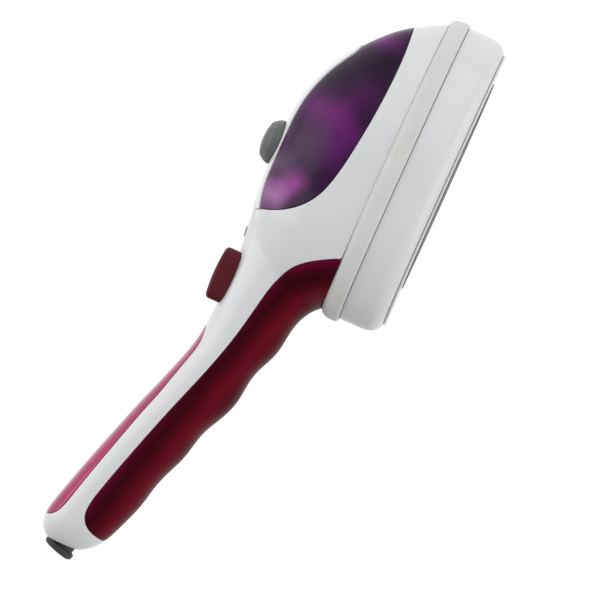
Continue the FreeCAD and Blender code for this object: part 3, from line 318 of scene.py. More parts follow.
def grid_field(name):
    if name not in _cache:
        _cache[name] = field(name, GRID[0])
    return _cache[name]


def split(P, N, F, T, level):
    """Cuts the triangles along F[:, 0] = level. F carries the field and its gradient."""
    s = F[:, 0] >= level
    c = s[T].sum(1)
    keep = T[(c == 0) | (c == 3)]
    X = T[(c == 1) | (c == 2)]
    if not len(X):
        return P, N, F, T
    lone = np.where((s[X].sum(1) == 1)[:, None], s[X], ~s[X]).argmax(1)
    r = np.arange(len(X))
    a, b, d = X[r, lone], X[r, (lone + 1) % 3], X[r, (lone + 2) % 3]
    e = np.sort(np.concatenate([np.stack([a, b], 1), np.stack([a, d], 1)]), 1)
    u, inv = np.unique(e, axis=0, return_inverse=True)
    inv = inv.reshape(-1)
    f0, f1 = F[u[:, 0], 0], F[u[:, 1], 0]
    t = np.clip((level - f0) / np.where(f1 == f0, 1, f1 - f0), 0.015, 0.985)[:, None]
    mix = lambda A: A[u[:, 0]] * (1 - t) + A[u[:, 1]] * t
    Pn, Nn, Fn = mix(P), mix(N), mix(F)
    Nn /= np.linalg.norm(Nn, axis=1)[:, None]
    Fn[:, 0] = level
    base = len(P)
    ab, ad = base + inv[:len(X)], base + inv[len(X):]
    new = np.concatenate([np.stack([a, ab, ad], 1), np.stack([ab, b, d], 1), np.stack([ab, d, ad], 1)])
    return (np.concatenate([P, Pn]), np.concatenate([N, Nn]), np.concatenate([F, Fn]),
            np.concatenate([keep, new]))


def make_mesh(name, V, faces, loop_normals=None, smooth=True):
    me = bpy.data.meshes.new(name)
    me.from_pydata((np.asarray(V) * MM).tolist(), [], faces)
    me.update()
    if smooth:
        me.polygons.foreach_set("use_smooth", [True] * len(me.polygons))
    if loop_normals is not None:
        me.normals_split_custom_set(loop_normals)
    o = bpy.data.objects.new(name, me)
    bpy.context.scene.collection.objects.link(o)
    return o


def skin_piece(name, zones, thick, r=0.35, gap=0.12, rise=None, bulge=None):
    """A closed moulding that follows the skin inside all the zones, with rounded edges.

    zones: (zone name, +1 inside or -1 outside). rise(x): height above the skin.
    """
    P, N, T = GRID
    best, grad = np.full(len(P), 1e9), np.zeros((len(P), 3))
    for zname, sg in zones:
        d, g = grid_field(zname)
        d, g = d * sg, g * sg
        gt = g - (g * N).sum(1)[:, None] * N
        L = np.maximum(np.linalg.norm(gt, axis=1), 0.12)
        d = d / L
        m = d < best
        best[m], grad[m] = d[m], (gt / L[:, None])[m]
    F = np.concatenate([best[:, None], grad], 1)
    near = best[T].max(1) > -3
    P, N, F, T = P, N, F, T[near]
    for lv in (gap, gap + 0.1 * r, gap + 0.35 * r, gap + 0.75 * r, gap + 1.6 * r):
        P, N, F, T = split(P, N, F, T, lv)
    T = T[F[T, 0].min(1) >= gap - 1e-6]
    used, inv = np.unique(T, return_inverse=True)
    T = inv.reshape(-1, 3)
    P, N, F = P[used], N[used], F[used]
    # drop scraps: keep the largest connected part
    parent = np.arange(len(P))
    for _ in range(400):
        m = np.minimum(np.minimum(parent[T[:, 0]], parent[T[:, 1]]), parent[T[:, 2]])
        new = parent.copy()
        for k in range(3):
            np.minimum.at(new, T[:, k], m)
        new = new[new]
        if (new == parent).all():
            break
        parent = new
    lab, cnt = np.unique(parent, return_counts=True)
    big = set(lab[cnt > 0.12 * cnt.max()].tolist())
    T = T[np.isin(parent[T[:, 0]], list(big))]
    used, inv = np.unique(T, return_inverse=True)
    T = inv.reshape(-1, 3)
    P, N, F = P[used], N[used], F[used]

    g = F[:, 1:4]
    g = g - (g * N).sum(1)[:, None] * N
    g /= np.maximum(np.linalg.norm(g, axis=1), 1e-9)[:, None]
    w = np.clip((F[:, 0] - gap) / r, 0, 1)
    drop = r * (1 - np.sqrt(np.clip(1 - (1 - w) ** 2, 0, 1)))
    sa = (1 - w)[:, None]
    NN = N * np.sqrt(np.clip(1 - sa ** 2, 0, 1)) - g * sa
    up = np.zeros(len(P)) if rise is None else rise(P[:, 0])
    if bulge is not None:
        up = up + bulge(P, F[:, 0])
        h = 0.05
        for ax in range(3):
            e = np.zeros(3)
            e[ax] = h
            slope = (bulge(P + e, None) - bulge(P - e, None)) / (2 * h)
            NN[:, ax] -= slope
        NN /= np.linalg.norm(NN, axis=1)[:, None]
    out = P + N * (up - drop)[:, None]
    inn = P - N * (np.full(len(P), thick) - (up if rise is not None else 0.0))[:, None]
    n = len(P)
    E = np.concatenate([T[:, [0, 1]], T[:, [1, 2]], T[:, [2, 0]]])
    key = np.sort(E, 1)
    _, first, cnt = np.unique(key, axis=0, return_index=True, return_counts=True)
    B = E[first[cnt == 1]]
    V = np.concatenate([out, inn])
    W = np.stack([B[:, 1], B[:, 0], B[:, 0] + n, B[:, 1] + n], 1)
    faces = T.tolist() + (T[:, ::-1] + n).tolist() + W.tolist()
    ln = np.concatenate([NN[T].reshape(-1, 3), (-N[T[:, ::-1]]).reshape(-1, 3),
                         (-g[np.stack([B[:, 1], B[:, 0], B[:, 0], B[:, 1]], 1)]).reshape(-1, 3)])
    return make_mesh(name, V, faces, ln.tolist())


def place(o, mat, body, *nodes, slot=None):
    o.data.materials.clear()
    o.data.materials.append(mat)
    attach(o, body)
    if nodes:
        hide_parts(*nodes)
    return o


# ================================================================= rings, plates and turned parts
def egg(plan, xm=OUTLINE_X, inset=0.0, k=320, n=OUTLINE_N):
    a1, a2, b = (v - inset for v in plan)
    th = np.linspace(0, 2 * math.pi, 1441)
    c, s = np.cos(th), np.sin(th)
    a = np.where(c >= 0, a2, a1)
    p = np.stack([xm + a * np.sign(c) * np.abs(c) ** (2 / n), b * np.sign(s) * np.abs(s) ** (2 / n)], 1)
    q = np.concatenate([[0], np.cumsum(np.hypot(*np.diff(p, axis=0).T))])
    t = np.linspace(0, q[-1], k + 1)[:-1]
    return np.stack([np.interp(t, q, p[:, 0]), np.interp(t, q, p[:, 1])], 1)


def ring_solid(name, plan, profile, xm=OUTLINE_X, k=320):
    """Closed ring swept round an egg: profile is a closed loop of (z, inset)."""
    rows = [np.concatenate([egg(plan, xm, i, k), np.full((k, 1), z)], 1) for z, i in profile]
    V = np.concatenate(rows)
    m = len(profile)
    faces = []
    for i in range(m):
        j = (i + 1) % m
        for c in range(k):
            d = (c + 1) % k
            faces.append((i * k + c, j * k + c, j * k + d, i * k + d))
    o = make_mesh(name, V, faces)
    fix_outward(o)
    return o


def fix_outward(o):
    import bmesh
    bm = bmesh.new()
    bm.from_mesh(o.data)
    bmesh.ops.recalc_face_normals(bm, faces=bm.faces)
    bm.to_mesh(o.data)
    bm.free()


def turned(name, profile, base=(0, 0, 0), axis=(0, 0, 1), k=96, closed=True):
    """Turned part from (radius, height) points; radius 0 ends are poles."""
    ax = Vector(axis).normalized()
    rot = ax.to_track_quat("Z", "Y").to_matrix()
    V, rows = [], []
    for r, h in profile:
        if r <= 1e-6:
            rows.append([len(V)])
            V.append((0, 0, h))
        else:
            rows.append(list(range(len(V), len(V) + k)))
            V += [(r * math.cos(2 * math.pi * i / k), r * math.sin(2 * math.pi * i / k), h) for i in range(k)]
    faces = []
    pairs = list(zip(rows, rows[1:])) + ([(rows[-1], rows[0])] if closed and len(rows[0]) > 1 else [])
    for a, b in pairs:
        for i in range(k):
            j = (i + 1) % k
            if len(a) == 1 and len(b) == 1:
                break
            if len(a) == 1:
                faces.append((a[0], b[j], b[i]))
            elif len(b) == 1:
                faces.append((a[i], a[j], b[0]))
            else:
                faces.append((a[i], a[j], b[j], b[i]))
    V = [tuple(rot @ Vector(v) + Vector(base)) for v in V]
    o = make_mesh(name, V, faces)
    fix_outward(o)
    return o


def fillet_path(pts, radii, seg=5):
    """Polyline with its corners rounded."""
    out = []
    n = len(pts)
    for i, (p, r) in enumerate(zip(pts, radii)):
        if r <= 0 or i in (0, n - 1):
            out.append(p)
            continue
        a, b, c = np.array(pts[i - 1], float), np.array(p, float), np.array(pts[i + 1], float)
        u, v = a - b, c - b
        lu, lv = np.linalg.norm(u), np.linalg.norm(v)
        u, v = u / lu, v / lv
        half = math.acos(max(-1, min(1, float(u @ v)))) / 2
        t = min(r / math.tan(half), 0.49 * lu, 0.49 * lv)
        s, e = b + u * t, b + v * t
        for q in range(seg + 1):
            w = q / seg
            out.append(tuple((1 - w) ** 2 * s + 2 * w * (1 - w) * b + w ** 2 * e))
    return out


# ================================================================= materials
def mat_new(name):
    m = bpy.data.materials.new(name)
    m.use_nodes = True
    nt = m.node_tree
    nt.nodes.clear()
    out = nt.nodes.new("ShaderNodeOutputMaterial")
    b = nt.nodes.new("ShaderNodeBsdfPrincipled")
    nt.links.new(b.outputs["BSDF"], out.inputs["Surface"])
    return m, nt, b


def coords(nt, scale=(1, 1, 1)):
    tc = nt.nodes.new("ShaderNodeTexCoord")
    mp = nt.nodes.new("ShaderNodeMapping")
    mp.inputs["Scale"].default_value = scale
    nt.links.new(tc.outputs["Object"], mp.inputs["Vector"])
    return mp.outputs["Vector"]


def noise(nt, vec, scale, detail=3.0, rough=0.55):
    n = nt.nodes.new("ShaderNodeTexNoise")
    n.inputs["Scale"].default_value = scale
    n.inputs["Detail"].default_value = detail
    n.inputs["Roughness"].default_value = rough
    nt.links.new(vec, n.inputs["Vector"])
    return n.outputs["Fac"]


def ramp(nt, fac, stops):
    r = nt.nodes.new("ShaderNodeValToRGB")
    el = r.color_ramp.elements
    while len(el) < len(stops):
        el.new(0.5)
    for e, (p, c) in zip(el, stops):
        e.position = p
        e.color = (*c, 1.0) if len(c) == 3 else c
    nt.links.new(fac, r.inputs["Fac"])
    return r.outputs["Color"]


def remap(nt, fac, a, b, lo=0.0, hi=1.0):
    m = nt.nodes.new("ShaderNodeMapRange")
    for k, v in (("From Min", lo), ("From Max", hi), ("To Min", a), ("To Max", b)):
        m.inputs[k].default_value = v
    nt.links.new(fac, m.inputs["Value"])
    return m.outputs["Result"]


def bump(nt, b, height, strength, dist):
    n = nt.nodes.new("ShaderNodeBump")
    n.inputs["Strength"].default_value = strength
    n.inputs["Distance"].default_value = dist
    nt.links.new(height, n.inputs["Height"])
    nt.links.new(n.outputs["Normal"], b.inputs["Normal"])
    return n


def moulded(name, base, var, rough, rough_var=0.04, grain=2500.0, grain_h=0.04, coat=0.0, coat_rough=0.06,
            metallic=0.0, spec=0.5, broad=22.0, ior=1.49, sheen=0.0):
    """Moulded plastic or rubber: slight colour drift, fine grain and uneven gloss."""
    m, nt, b = mat_new(name)
    v = coords(nt)
    lo = tuple(max(0.0, c * (1 - var)) for c in base)
    hi = tuple(min(1.0, c * (1 + var)) for c in base)
    nt.links.new(ramp(nt, noise(nt, v, broad, 4.0), [(0.32, lo), (0.68, hi)]), b.inputs["Base Color"])
    nt.links.new(remap(nt, noise(nt, v, broad * 9, 3.0), rough - rough_var, rough + rough_var), b.inputs["Roughness"])
    b.inputs["Metallic"].default_value = metallic
    b.inputs["Specular IOR Level"].default_value = spec
    b.inputs["IOR"].default_value = ior
    b.inputs["Coat Weight"].default_value = coat
    b.inputs["Coat Roughness"].default_value = coat_rough
    b.inputs["Sheen Weight"].default_value = sheen
    bump(nt, b, noise(nt, v, grain, 2.0), 0.35, grain_h * MM)
    return m


def mat_white():
    m = moulded("gloss_white_abs", (0.646, 0.652, 0.662), 0.004, 0.27, 0.008, grain=1400.0, grain_h=0.006, coat=0.30,
                coat_rough=0.10, broad=9.0)
    return m


def dot_with(nt, vec, d, offset):
    n = nt.nodes.new("ShaderNodeVectorMath")
    n.operation = "DOT_PRODUCT"
    nt.links.new(vec, n.inputs[0])
    n.inputs[1].default_value = d
    m = nt.nodes.new("ShaderNodeMath")
    m.operation = "ADD"
    nt.links.new(n.outputs["Value"], m.inputs[0])
    m.inputs[1].default_value = offset
    return m.outputs[0]


def mat_grip():
    """Pearl paint: deep wine red with fine flakes, plus painted light in bands across the grip's depth: a painted
    highlight, painted shade and a brighter painted reflection.
    """
    m, nt, b = mat_new("pearl_red_grip_painted_light")
    v = coords(nt)
    along = dot_with(nt, v, (-0.2687, 0.0, -0.963), 0.0341)
    heel = dot_with(nt, v, (-0.878, 0.0, -0.478), -0.0295)
    near = nt.nodes.new("ShaderNodeMath")
    near.operation = "MINIMUM"
    nt.links.new(along, near.inputs[0])
    nt.links.new(heel, near.inputs[1])
    wob = nt.nodes.new("ShaderNodeMath")
    wob.operation = "MULTIPLY_ADD"
    nt.links.new(noise(nt, v, 34.0, 2.0), wob.inputs[0])
    wob.inputs[1].default_value = 0.009
    nt.links.new(near.outputs[0], wob.inputs[2])
    t = remap(nt, wob.outputs[0], 0.0, 1.0, 0.0045, 0.0265)
    # painted light by distance from the upper seam: a painted highlight line at the seam, a painted shade band, a
    # brighter painted reflection band, then darker towards the bottom edge
    colour_with_painted_light = ramp(nt, t, [(0.00, (0.120, 0.0012, 0.024)), (0.08, (0.074, 0.0008, 0.0130)), (0.24, (0.040, 0.0006, 0.0050)),
                       (0.42, (0.070, 0.0010, 0.0065)), (0.62, (0.130, 0.0014, 0.0100)), (0.80, (0.105, 0.0014, 0.0080)),
                       (1.00, (0.045, 0.0016, 0.0055))])
    fl = nt.nodes.new("ShaderNodeTexVoronoi")
    fl.inputs["Scale"].default_value = 4200.0
    nt.links.new(v, fl.inputs["Vector"])
    mx = nt.nodes.new("ShaderNodeMix")
    mx.data_type = "RGBA"
    mx.blend_type = "MULTIPLY"
    mx.inputs["Factor"].default_value = 0.35
    nt.links.new(colour_with_painted_light, mx.inputs["A"])
    nt.links.new(ramp(nt, fl.outputs["Distance"], [(0.15, (1.25, 1.2, 1.2)), (0.5, (0.82, 0.82, 0.82))]), mx.inputs["B"])
    nt.links.new(mx.outputs["Result"], b.inputs["Base Color"])
    nt.links.new(remap(nt, fl.outputs["Distance"], 0.36, 0.48), b.inputs["Roughness"])
    b.inputs["Metallic"].default_value = 0.35
    b.inputs["Specular IOR Level"].default_value = 0.06
    bump(nt, b, noise(nt, v, 2600.0, 2.0), 0.30, 0.02 * MM)
    return m


def mat_collar():
    m, nt, b = mat_new("speckled_ivory_silicone")
    v = coords(nt)
    vor = nt.nodes.new("ShaderNodeTexVoronoi")
    vor.inputs["Scale"].default_value = 900.0
    nt.links.new(v, vor.inputs["Vector"])
    base = ramp(nt, noise(nt, v, 60.0, 4.0), [(0.3, (0.585, 0.585, 0.572)), (0.7, (0.625, 0.625, 0.614))])
    spots = ramp(nt, vor.outputs["Distance"], [(0.12, (0.70, 0.69, 0.66)), (0.30, (1.0, 1.0, 1.0))])
    mx = nt.nodes.new("ShaderNodeMix")
    mx.data_type = "RGBA"
    mx.blend_type = "MULTIPLY"
    mx.inputs["Factor"].default_value = 0.55
    nt.links.new(base, mx.inputs["A"])
    nt.links.new(spots, mx.inputs["B"])
    nt.links.new(mx.outputs["Result"], b.inputs["Base Color"])
    nt.links.new(remap(nt, noise(nt, v, 500.0, 2.0), 0.46, 0.62), b.inputs["Roughness"])
    b.inputs["Subsurface Weight"].default_value = 0.12
    b.inputs["Subsurface Radius"].default_value = (0.9, 0.8, 0.6)
    b.inputs["Subsurface Scale"].default_value = 0.0015
    bump(nt, b, noise(nt, v, 1500.0, 3.0), 0.4, 0.05 * MM)
    return m


def blob(nt, vec, centre, radius, soft):
    """1 inside a soft ball round an object-space point, 0 outside."""
    d = nt.nodes.new("ShaderNodeVectorMath")
    d.operation = "DISTANCE"
    nt.links.new(vec, d.inputs[0])
    d.inputs[1].default_value = centre
    return remap(nt, d.outputs["Value"], 1.0, 0.0, radius * (1 - soft), radius * (1 + soft))


def mat_tank():
    m, nt, b = mat_new("tinted_purple_tank_painted_light")
    v = coords(nt)
    warp = nt.nodes.new("ShaderNodeTexNoise")
    warp.inputs["Scale"].default_value = 30.0
    warp.inputs["Detail"].default_value = 2.0
    nt.links.new(v, warp.inputs["Vector"])
    sub = nt.nodes.new("ShaderNodeVectorMath")
    sub.operation = "SUBTRACT"
    nt.links.new(warp.outputs["Color"], sub.inputs[0])
    sub.inputs[1].default_value = (0.5, 0.5, 0.5)
    sc = nt.nodes.new("ShaderNodeVectorMath")
    sc.operation = "SCALE"
    sc.inputs["Scale"].default_value = 0.013
    nt.links.new(sub.outputs[0], sc.inputs[0])
    add = nt.nodes.new("ShaderNodeVectorMath")
    add.operation = "ADD"
    nt.links.new(v, add.inputs[0])
    nt.links.new(sc.outputs[0], add.inputs[1])
    flat = nt.nodes.new("ShaderNodeMapping")
    flat.inputs["Scale"].default_value = (1, 0.0, 1)
    nt.links.new(add.outputs[0], flat.inputs["Vector"])
    p = flat.outputs["Vector"]
    colour_with_painted_light = None
    base = ramp(nt, noise(nt, v, 24.0, 3.0), [(0.30, (0.026, 0.0025, 0.034)), (0.72, (0.042, 0.004, 0.052))])
    colour_with_painted_light = base
    # painted light over the tank's own deep purple: soft patches of painted highlight and painted reflection (the
    # lighter colours, the hazy one near the rear edge) and of painted shade (the darker colours)
    for c, r, s, painted_light_tint, amt in (
            ((0.0114, 0, 0.0603), 0.01, 0.8, (0.140, 0.008, 0.140), 0.9),
            ((0.0135, 0, 0.0695), 0.006, 0.85, (0.15, 0.014, 0.15), 0.65),
            ((0.0078, 0, 0.0546), 0.005, 0.85, (0.150, 0.009, 0.160), 0.6),
            ((-0.0002, 0, 0.0541), 0.0085, 0.8, (0.105, 0.006, 0.125), 0.85),
            ((0.0259, 0, 0.0535), 0.007, 0.85, (0.08, 0.008, 0.088), 0.8),
            ((0.054, 0, 0.0528), 0.0055, 0.8, (0.13, 0.009, 0.14), 0.9),
            ((-0.0225, 0, 0.0646), 0.0050, 0.80, (0.31, 0.045, 0.29), 0.75),
            ((-0.028, 0, 0.0678), 0.0056, 0.80, (0.33, 0.075, 0.32), 0.75),
            ((-0.034, 0, 0.0718), 0.0058, 0.80, (0.42, 0.18, 0.42), 0.8),
            ((-0.006, 0, 0.0669), 0.0085, 0.75, (0.074, 0.032, 0.084), 0.8),
            ((-0.0179, 0, 0.075), 0.005, 0.8, (0.140, 0.072, 0.150), 0.65),
            ((0.0314, 0, 0.0642), 0.0105, 0.75, (0.022, 0.01, 0.028), 0.92),
            ((0.0417, 0, 0.0482), 0.0075, 0.8, (0.012, 0.003, 0.017), 0.9),
            ((0.0471, 0, 0.0589), 0.005, 0.8, (0.03, 0.014, 0.036), 0.6),
            ((-0.0292, 0, 0.0554), 0.0055, 0.6, (0.04, 0.02, 0.05), 0.9),
            ((-0.0357, 0, 0.0607), 0.0035, 0.6, (0.04, 0.022, 0.05), 0.85),
            ((0.0163, 0, 0.045), 0.006, 0.85, (0.022, 0.0015, 0.03), 0.85),
            ((0.0322, 0, 0.0419), 0.0055, 0.85, (0.012, 0.0015, 0.018), 0.85),
            ((-0.0056, 0, 0.0433), 0.006, 0.85, (0.026, 0.0015, 0.036), 0.75)):
        mx = nt.nodes.new("ShaderNodeMix")
        mx.data_type = "RGBA"
        f = blob(nt, p, c, r, s)
        k = nt.nodes.new("ShaderNodeMath")
        k.operation = "MULTIPLY"
        nt.links.new(f, k.inputs[0])
        k.inputs[1].default_value = amt
        nt.links.new(k.outputs[0], mx.inputs["Factor"])
        nt.links.new(colour_with_painted_light, mx.inputs["A"])
        mx.inputs["B"].default_value = (*painted_light_tint, 1)
        colour_with_painted_light = mx.outputs["Result"]
    nt.links.new(colour_with_painted_light, b.inputs["Base Color"])
    nt.links.new(remap(nt, noise(nt, v, 45.0, 2.0), 0.20, 0.32), b.inputs["Roughness"])
    b.inputs["IOR"].default_value = 1.49
    b.inputs["Specular IOR Level"].default_value = 0.10
    b.inputs["Transmission Weight"].default_value = 0.08
    b.inputs["Coat Weight"].default_value = 0.08
    b.inputs["Coat Roughness"].default_value = 0.34
    bump(nt, b, noise(nt, v, 160.0, 2.0), 0.10, 0.05 * MM)
    return m


def metal(name, base, rough, scale=(1, 1, 1), grain=900.0, h=0.02, metallic=1.0):
    m, nt, b = mat_new(name)
    v = coords(nt, scale)
    lo, hi = tuple(c * 0.86 for c in base), tuple(min(1, c * 1.12) for c in base)
    nt.links.new(ramp(nt, noise(nt, v, grain * 0.2, 4.0), [(0.3, lo), (0.7, hi)]), b.inputs["Base Color"])
    nt.links.new(remap(nt, noise(nt, v, grain, 3.0), rough - 0.08, rough + 0.08), b.inputs["Roughness"])
    b.inputs["Metallic"].default_value = metallic
    bump(nt, b, noise(nt, v, grain * 1.7, 2.0), 0.3, h * MM)
    return m


def mat_glassy(name, base, rough, trans, alpha=None):
    m, nt, b = mat_new(name)
    v = coords(nt)
    nt.links.new(ramp(nt, noise(nt, v, 80.0), [(0.3, tuple(c * 0.85 for c in base)), (0.7, base)]), b.inputs["Base Color"])
    nt.links.new(remap(nt, noise(nt, v, 300.0), rough * 0.7, rough * 1.3), b.inputs["Roughness"])
    b.inputs["Transmission Weight"].default_value = trans
    b.inputs["Coat Weight"].default_value = 0.6
    b.inputs["Coat Roughness"].default_value = 0.04
    return m


WHITE = mat_white()
GRIP = mat_grip()
COLLAR = mat_collar()
TANK = mat_tank()
INLAY = moulded("magenta_gloss_inlay", (0.30, 0.004, 0.075), 0.10, 0.24, 0.03, grain=3000.0, grain_h=0.006, coat=0.45,
                coat_rough=0.05, metallic=0.5)
PLUG = moulded("grey_silicone_plug", (0.105, 0.107, 0.112), 0.10, 0.56, 0.05, grain=2600.0, grain_h=0.05, sheen=0.15)
BUTTON = moulded("maroon_textured_button", (0.086, 0.0045, 0.0115), 0.10, 0.46, 0.05, grain=2200.0, grain_h=0.07,
                 spec=0.22)
PLATE = metal("dark_coated_plate", (0.070, 0.070, 0.077), 0.50, (1, 5, 1), 700.0, 0.02, 0.35)
LENS = mat_glassy("red_lens", (0.22, 0.006, 0.015), 0.12, 0.35)
RUBBER = moulded("black_rubber", (0.028, 0.028, 0.030), 0.15, 0.62, 0.05, grain=2400.0, grain_h=0.06)
STEEL = metal("zinc_steel", (0.60, 0.60, 0.62), 0.32, (1, 1, 4))
ALLOY = metal("cast_alloy", (0.52, 0.52, 0.54), 0.50, (1, 1, 1), 600.0, 0.10)
BRASS = metal("machined_brass", (0.72, 0.50, 0.20), 0.28, (1, 1, 5))
ACETAL = moulded("natural_acetal", (0.66, 0.64, 0.57), 0.05, 0.42)
NYLON = moulded("dark_nylon", (0.05, 0.05, 0.055), 0.10, 0.48)
SIL = mat_glassy("clear_silicone", (0.80, 0.79, 0.75), 0.35, 0.45)
SEAL = moulded("red_silicone", (0.40, 0.045, 0.025), 0.08, 0.52)
LAMP = mat_glassy("neon_lamp", (0.85, 0.42, 0.26), 0.10, 0.7)
WIRE = moulded("wire_sleeve", (0.08, 0.085, 0.30), 0.10, 0.45)
FLOOR_MAT = None

# CAD pieces that stay in view or inside keep their shape and get their finish
KEEP = {
    "indicator_lamp": LAMP, "pump_plunger": ACETAL, "pump_cylinder": ACETAL, "pump_guide": ACETAL,
    "piston_ring": RUBBER, "pump_spring": STEEL, "inlet_valve_ball": STEEL, "outlet_valve_ball": STEEL,
    "pump_screws": STEEL, "collar_screws": STEEL, "heater_casting": ALLOY, "heating_element": STEEL,
    "heater_screws": STEEL, "chamber_gasket": SEAL, "chamber_cover": ALLOY, "chamber_screws": STEEL,
    "screw_spacers": STEEL, "inlet_nozzle": BRASS, "thermostat": NYLON, "thermal_fuse": STEEL, "fuse_clip": STEEL,
    "heat_shield": NYLON, "suction_tube": SIL, "delivery_tube": SIL, "cord_clamp": NYLON, "clamp_screws": STEEL,
    "terminal_block": ACETAL, "terminal_screws": BRASS, "lead_wires": WIRE, "housing_screws": STEEL,
    "filler_seal": SEAL,
}
for n, mt in KEEP.items():
    me = NODES[n].data
    me.materials.clear()
    me.materials.append(mt)

# ================================================================= mouldings that follow the skin
def spine_rise(x):
    return 0.40 + 0.5 * np.clip((x + 10) / 55.0, 0.0, 1.0)


def thumb_dish(P, _):
    """Shallow hollow in the top of the body round the button."""
    u, v = (P[:, 0] - BUTTON_X) / 15.5, np.abs(P[:, 1])
    side = np.clip((12.0 - v) / 4.0, 0, 1)
    side = side * side * (3 - 2 * side)
    return np.where(P[:, 2] > 66, -1.35 * np.clip(1 - u * u, 0, 1) * side, 0.0)


OUTSIDE = [("tank", -1), ("grip", -1), ("inlay", -1), ("spine", -1), ("floor", 1), ("button", -1), ("lens", -1),
           ("gland", -1)]
place(skin_piece("body_shell_left", OUTSIDE + [("left", 1)], 2.4, bulge=thumb_dish), WHITE, "housing", "left_shell", slot="body_white")
place(skin_piece("body_shell_right", OUTSIDE + [("right", 1)], 2.4, bulge=thumb_dish), WHITE, "housing", "right_shell",
      slot="body_white")
place(skin_piece("grip_overmould", [("grip", 1), ("floor", 1)], 1.25, r=0.4), GRIP, "housing", "grip", slot="grip_red")
place(skin_piece("top_inlay", [("inlay", 1)], 1.25, r=0.35), INLAY, "housing", "handle_inlay", slot="inlay_magenta")
tank = skin_piece("tank_window", [("tank", 1), ("spine", -1)], 2.2, r=0.35)
place(tank, TANK, "housing", "water_tank", slot="tank_purple")
place(skin_piece("spine_strip", [("spine", 1), ("filler", -1)], 1.4, r=0.45, rise=spine_rise), WHITE, "housing", "spine_cover",
      slot="body_white")


def tank_floor():
    c = TANK_C
    t = np.gradient(c, axis=0)
    t /= np.linalg.norm(t, axis=1)[:, None]
    nrm = np.stack([-t[:, 1], t[:, 0]], 1)
    w = np.minimum.reduce([width(q[:, 0], q[:, 1]) for q in (c, c + nrm * 0.15, c + nrm * 2.4)])
    keep = w > 6.0
    c, w = c[keep], w[keep] - 1.9
    pick = np.linspace(0, len(c) - 1, 110).round().astype(int)
    c, w = c[pick], w[pick]
    t = np.gradient(c, axis=0)
    t /= np.linalg.norm(t, axis=1)[:, None]
    nrm = np.stack([-t[:, 1], t[:, 0]], 1)
    m = 21
    u = np.linspace(-1, 1, m)
    lo, hi = c + nrm * 0.15, c + nrm * 2.1
    V = []
    for arr in (lo, hi):
        for i in range(len(c)):
            V += [(arr[i, 0], w[i] * q, arr[i, 1]) for q in u]
    n, faces = len(c) * m, []
    for i in range(len(c) - 1):
        for j in range(m - 1):
            a = i * m + j
            faces += [(a, a + m, a + m + 1, a + 1), (n + a, n + a + 1, n + a + m + 1, n + a + m)]
        for j in (0, m - 1):
            a = i * m + j
            faces.append((a, n + a, n + a + m, a + m))
    for i in (0, len(c) - 1):
        for j in range(m - 1):
            a = i * m + j
            faces.append((a, a + 1, n + a + 1, n + a))
    o = make_mesh("tank_base", V, faces)
    fix_outward(o)
    return o


place(tank_floor(), TANK, "housing", slot="tank_purple")
neck = turned("tank_neck", [(8.0, 71.0), (8.2, 70.7), (9.4, 70.7), (9.6, 71.0), (9.6, 77.5), (9.3, 80.2), (8.3, 80.3),
                            (8.0, 80.0)], (PLUG_X, 0, 0))
place(neck, TANK, "housing", slot="tank_purple")

# ================================================================= collar, head cover, sole frame
COLLAR_PLAN, COVER_PLAN = (57.0, 95.8, 37.65), (55.0, 94.5, 36.0)
FRAME_PLAN, PLATE_PLAN = (49.2, 89.5, 31.0), (48.0, 57.0, 24.0)
prof = [(21.42, 3.2), (21.42, 1.5), (21.47, 1.05), (21.62, 0.68), (21.9, 0.38), (22.35, 0.16), (22.9, 0.05),
        (23.7, 0.0), (24.6, 0.0), (25.6, 0.03), (26.6, 0.12), (27.5, 0.30), (28.3, 0.58), (29.0, 0.95), (29.6, 1.42),
        (30.1, 1.98), (30.45, 2.6), (30.64, 3.2), (30.7, 3.9), (30.7, 7.0), (30.6, 7.6), (32.4, 7.6), (32.6, 7.8),
        (32.6, 8.8), (32.4, 9.0), (21.6, 9.0), (21.4, 8.8), (21.4, 7.2), (21.2, 7.0), (18.8, 7.0), (18.6, 6.8),
        (18.6, 5.2), (18.8, 5.0), (21.2, 5.0), (21.4, 4.8)]
place(ring_solid("soft_collar", COLLAR_PLAN, prof, k=420), COLLAR, "housing", "collar",
      slot="collar_ivory")
prof = [(21.2, 0.45), (21.15, 0.2), (21.0, 0.05), (20.8, 0.0), (18.0, 0.0), (14.0, 0.0), (11.0, 0.02), (9.3, 0.09),
        (7.9, 0.24), (6.7, 0.48), (5.6, 0.83), (4.7, 1.28), (3.9, 1.82), (3.2, 2.45), (2.6, 3.15), (2.1, 3.9),
        (1.72, 4.7), (1.47, 5.5), (1.34, 6.2), (1.3, 6.9), (1.3, 7.9), (1.45, 8.2), (1.8, 8.35), (3.2, 8.35),
        (3.5, 8.1), (3.5, 7.2), (3.7, 6.2), (4.3, 5.0), (5.4, 3.8), (7.2, 2.8), (9.5, 2.4), (12.5, 2.3), (20.8, 2.3),
        (21.1, 2.15), (21.2, 1.9)]
place(ring_solid("head_skirt", COVER_PLAN, prof, k=420), WHITE, "housing", "head_cover",
      slot="body_white")


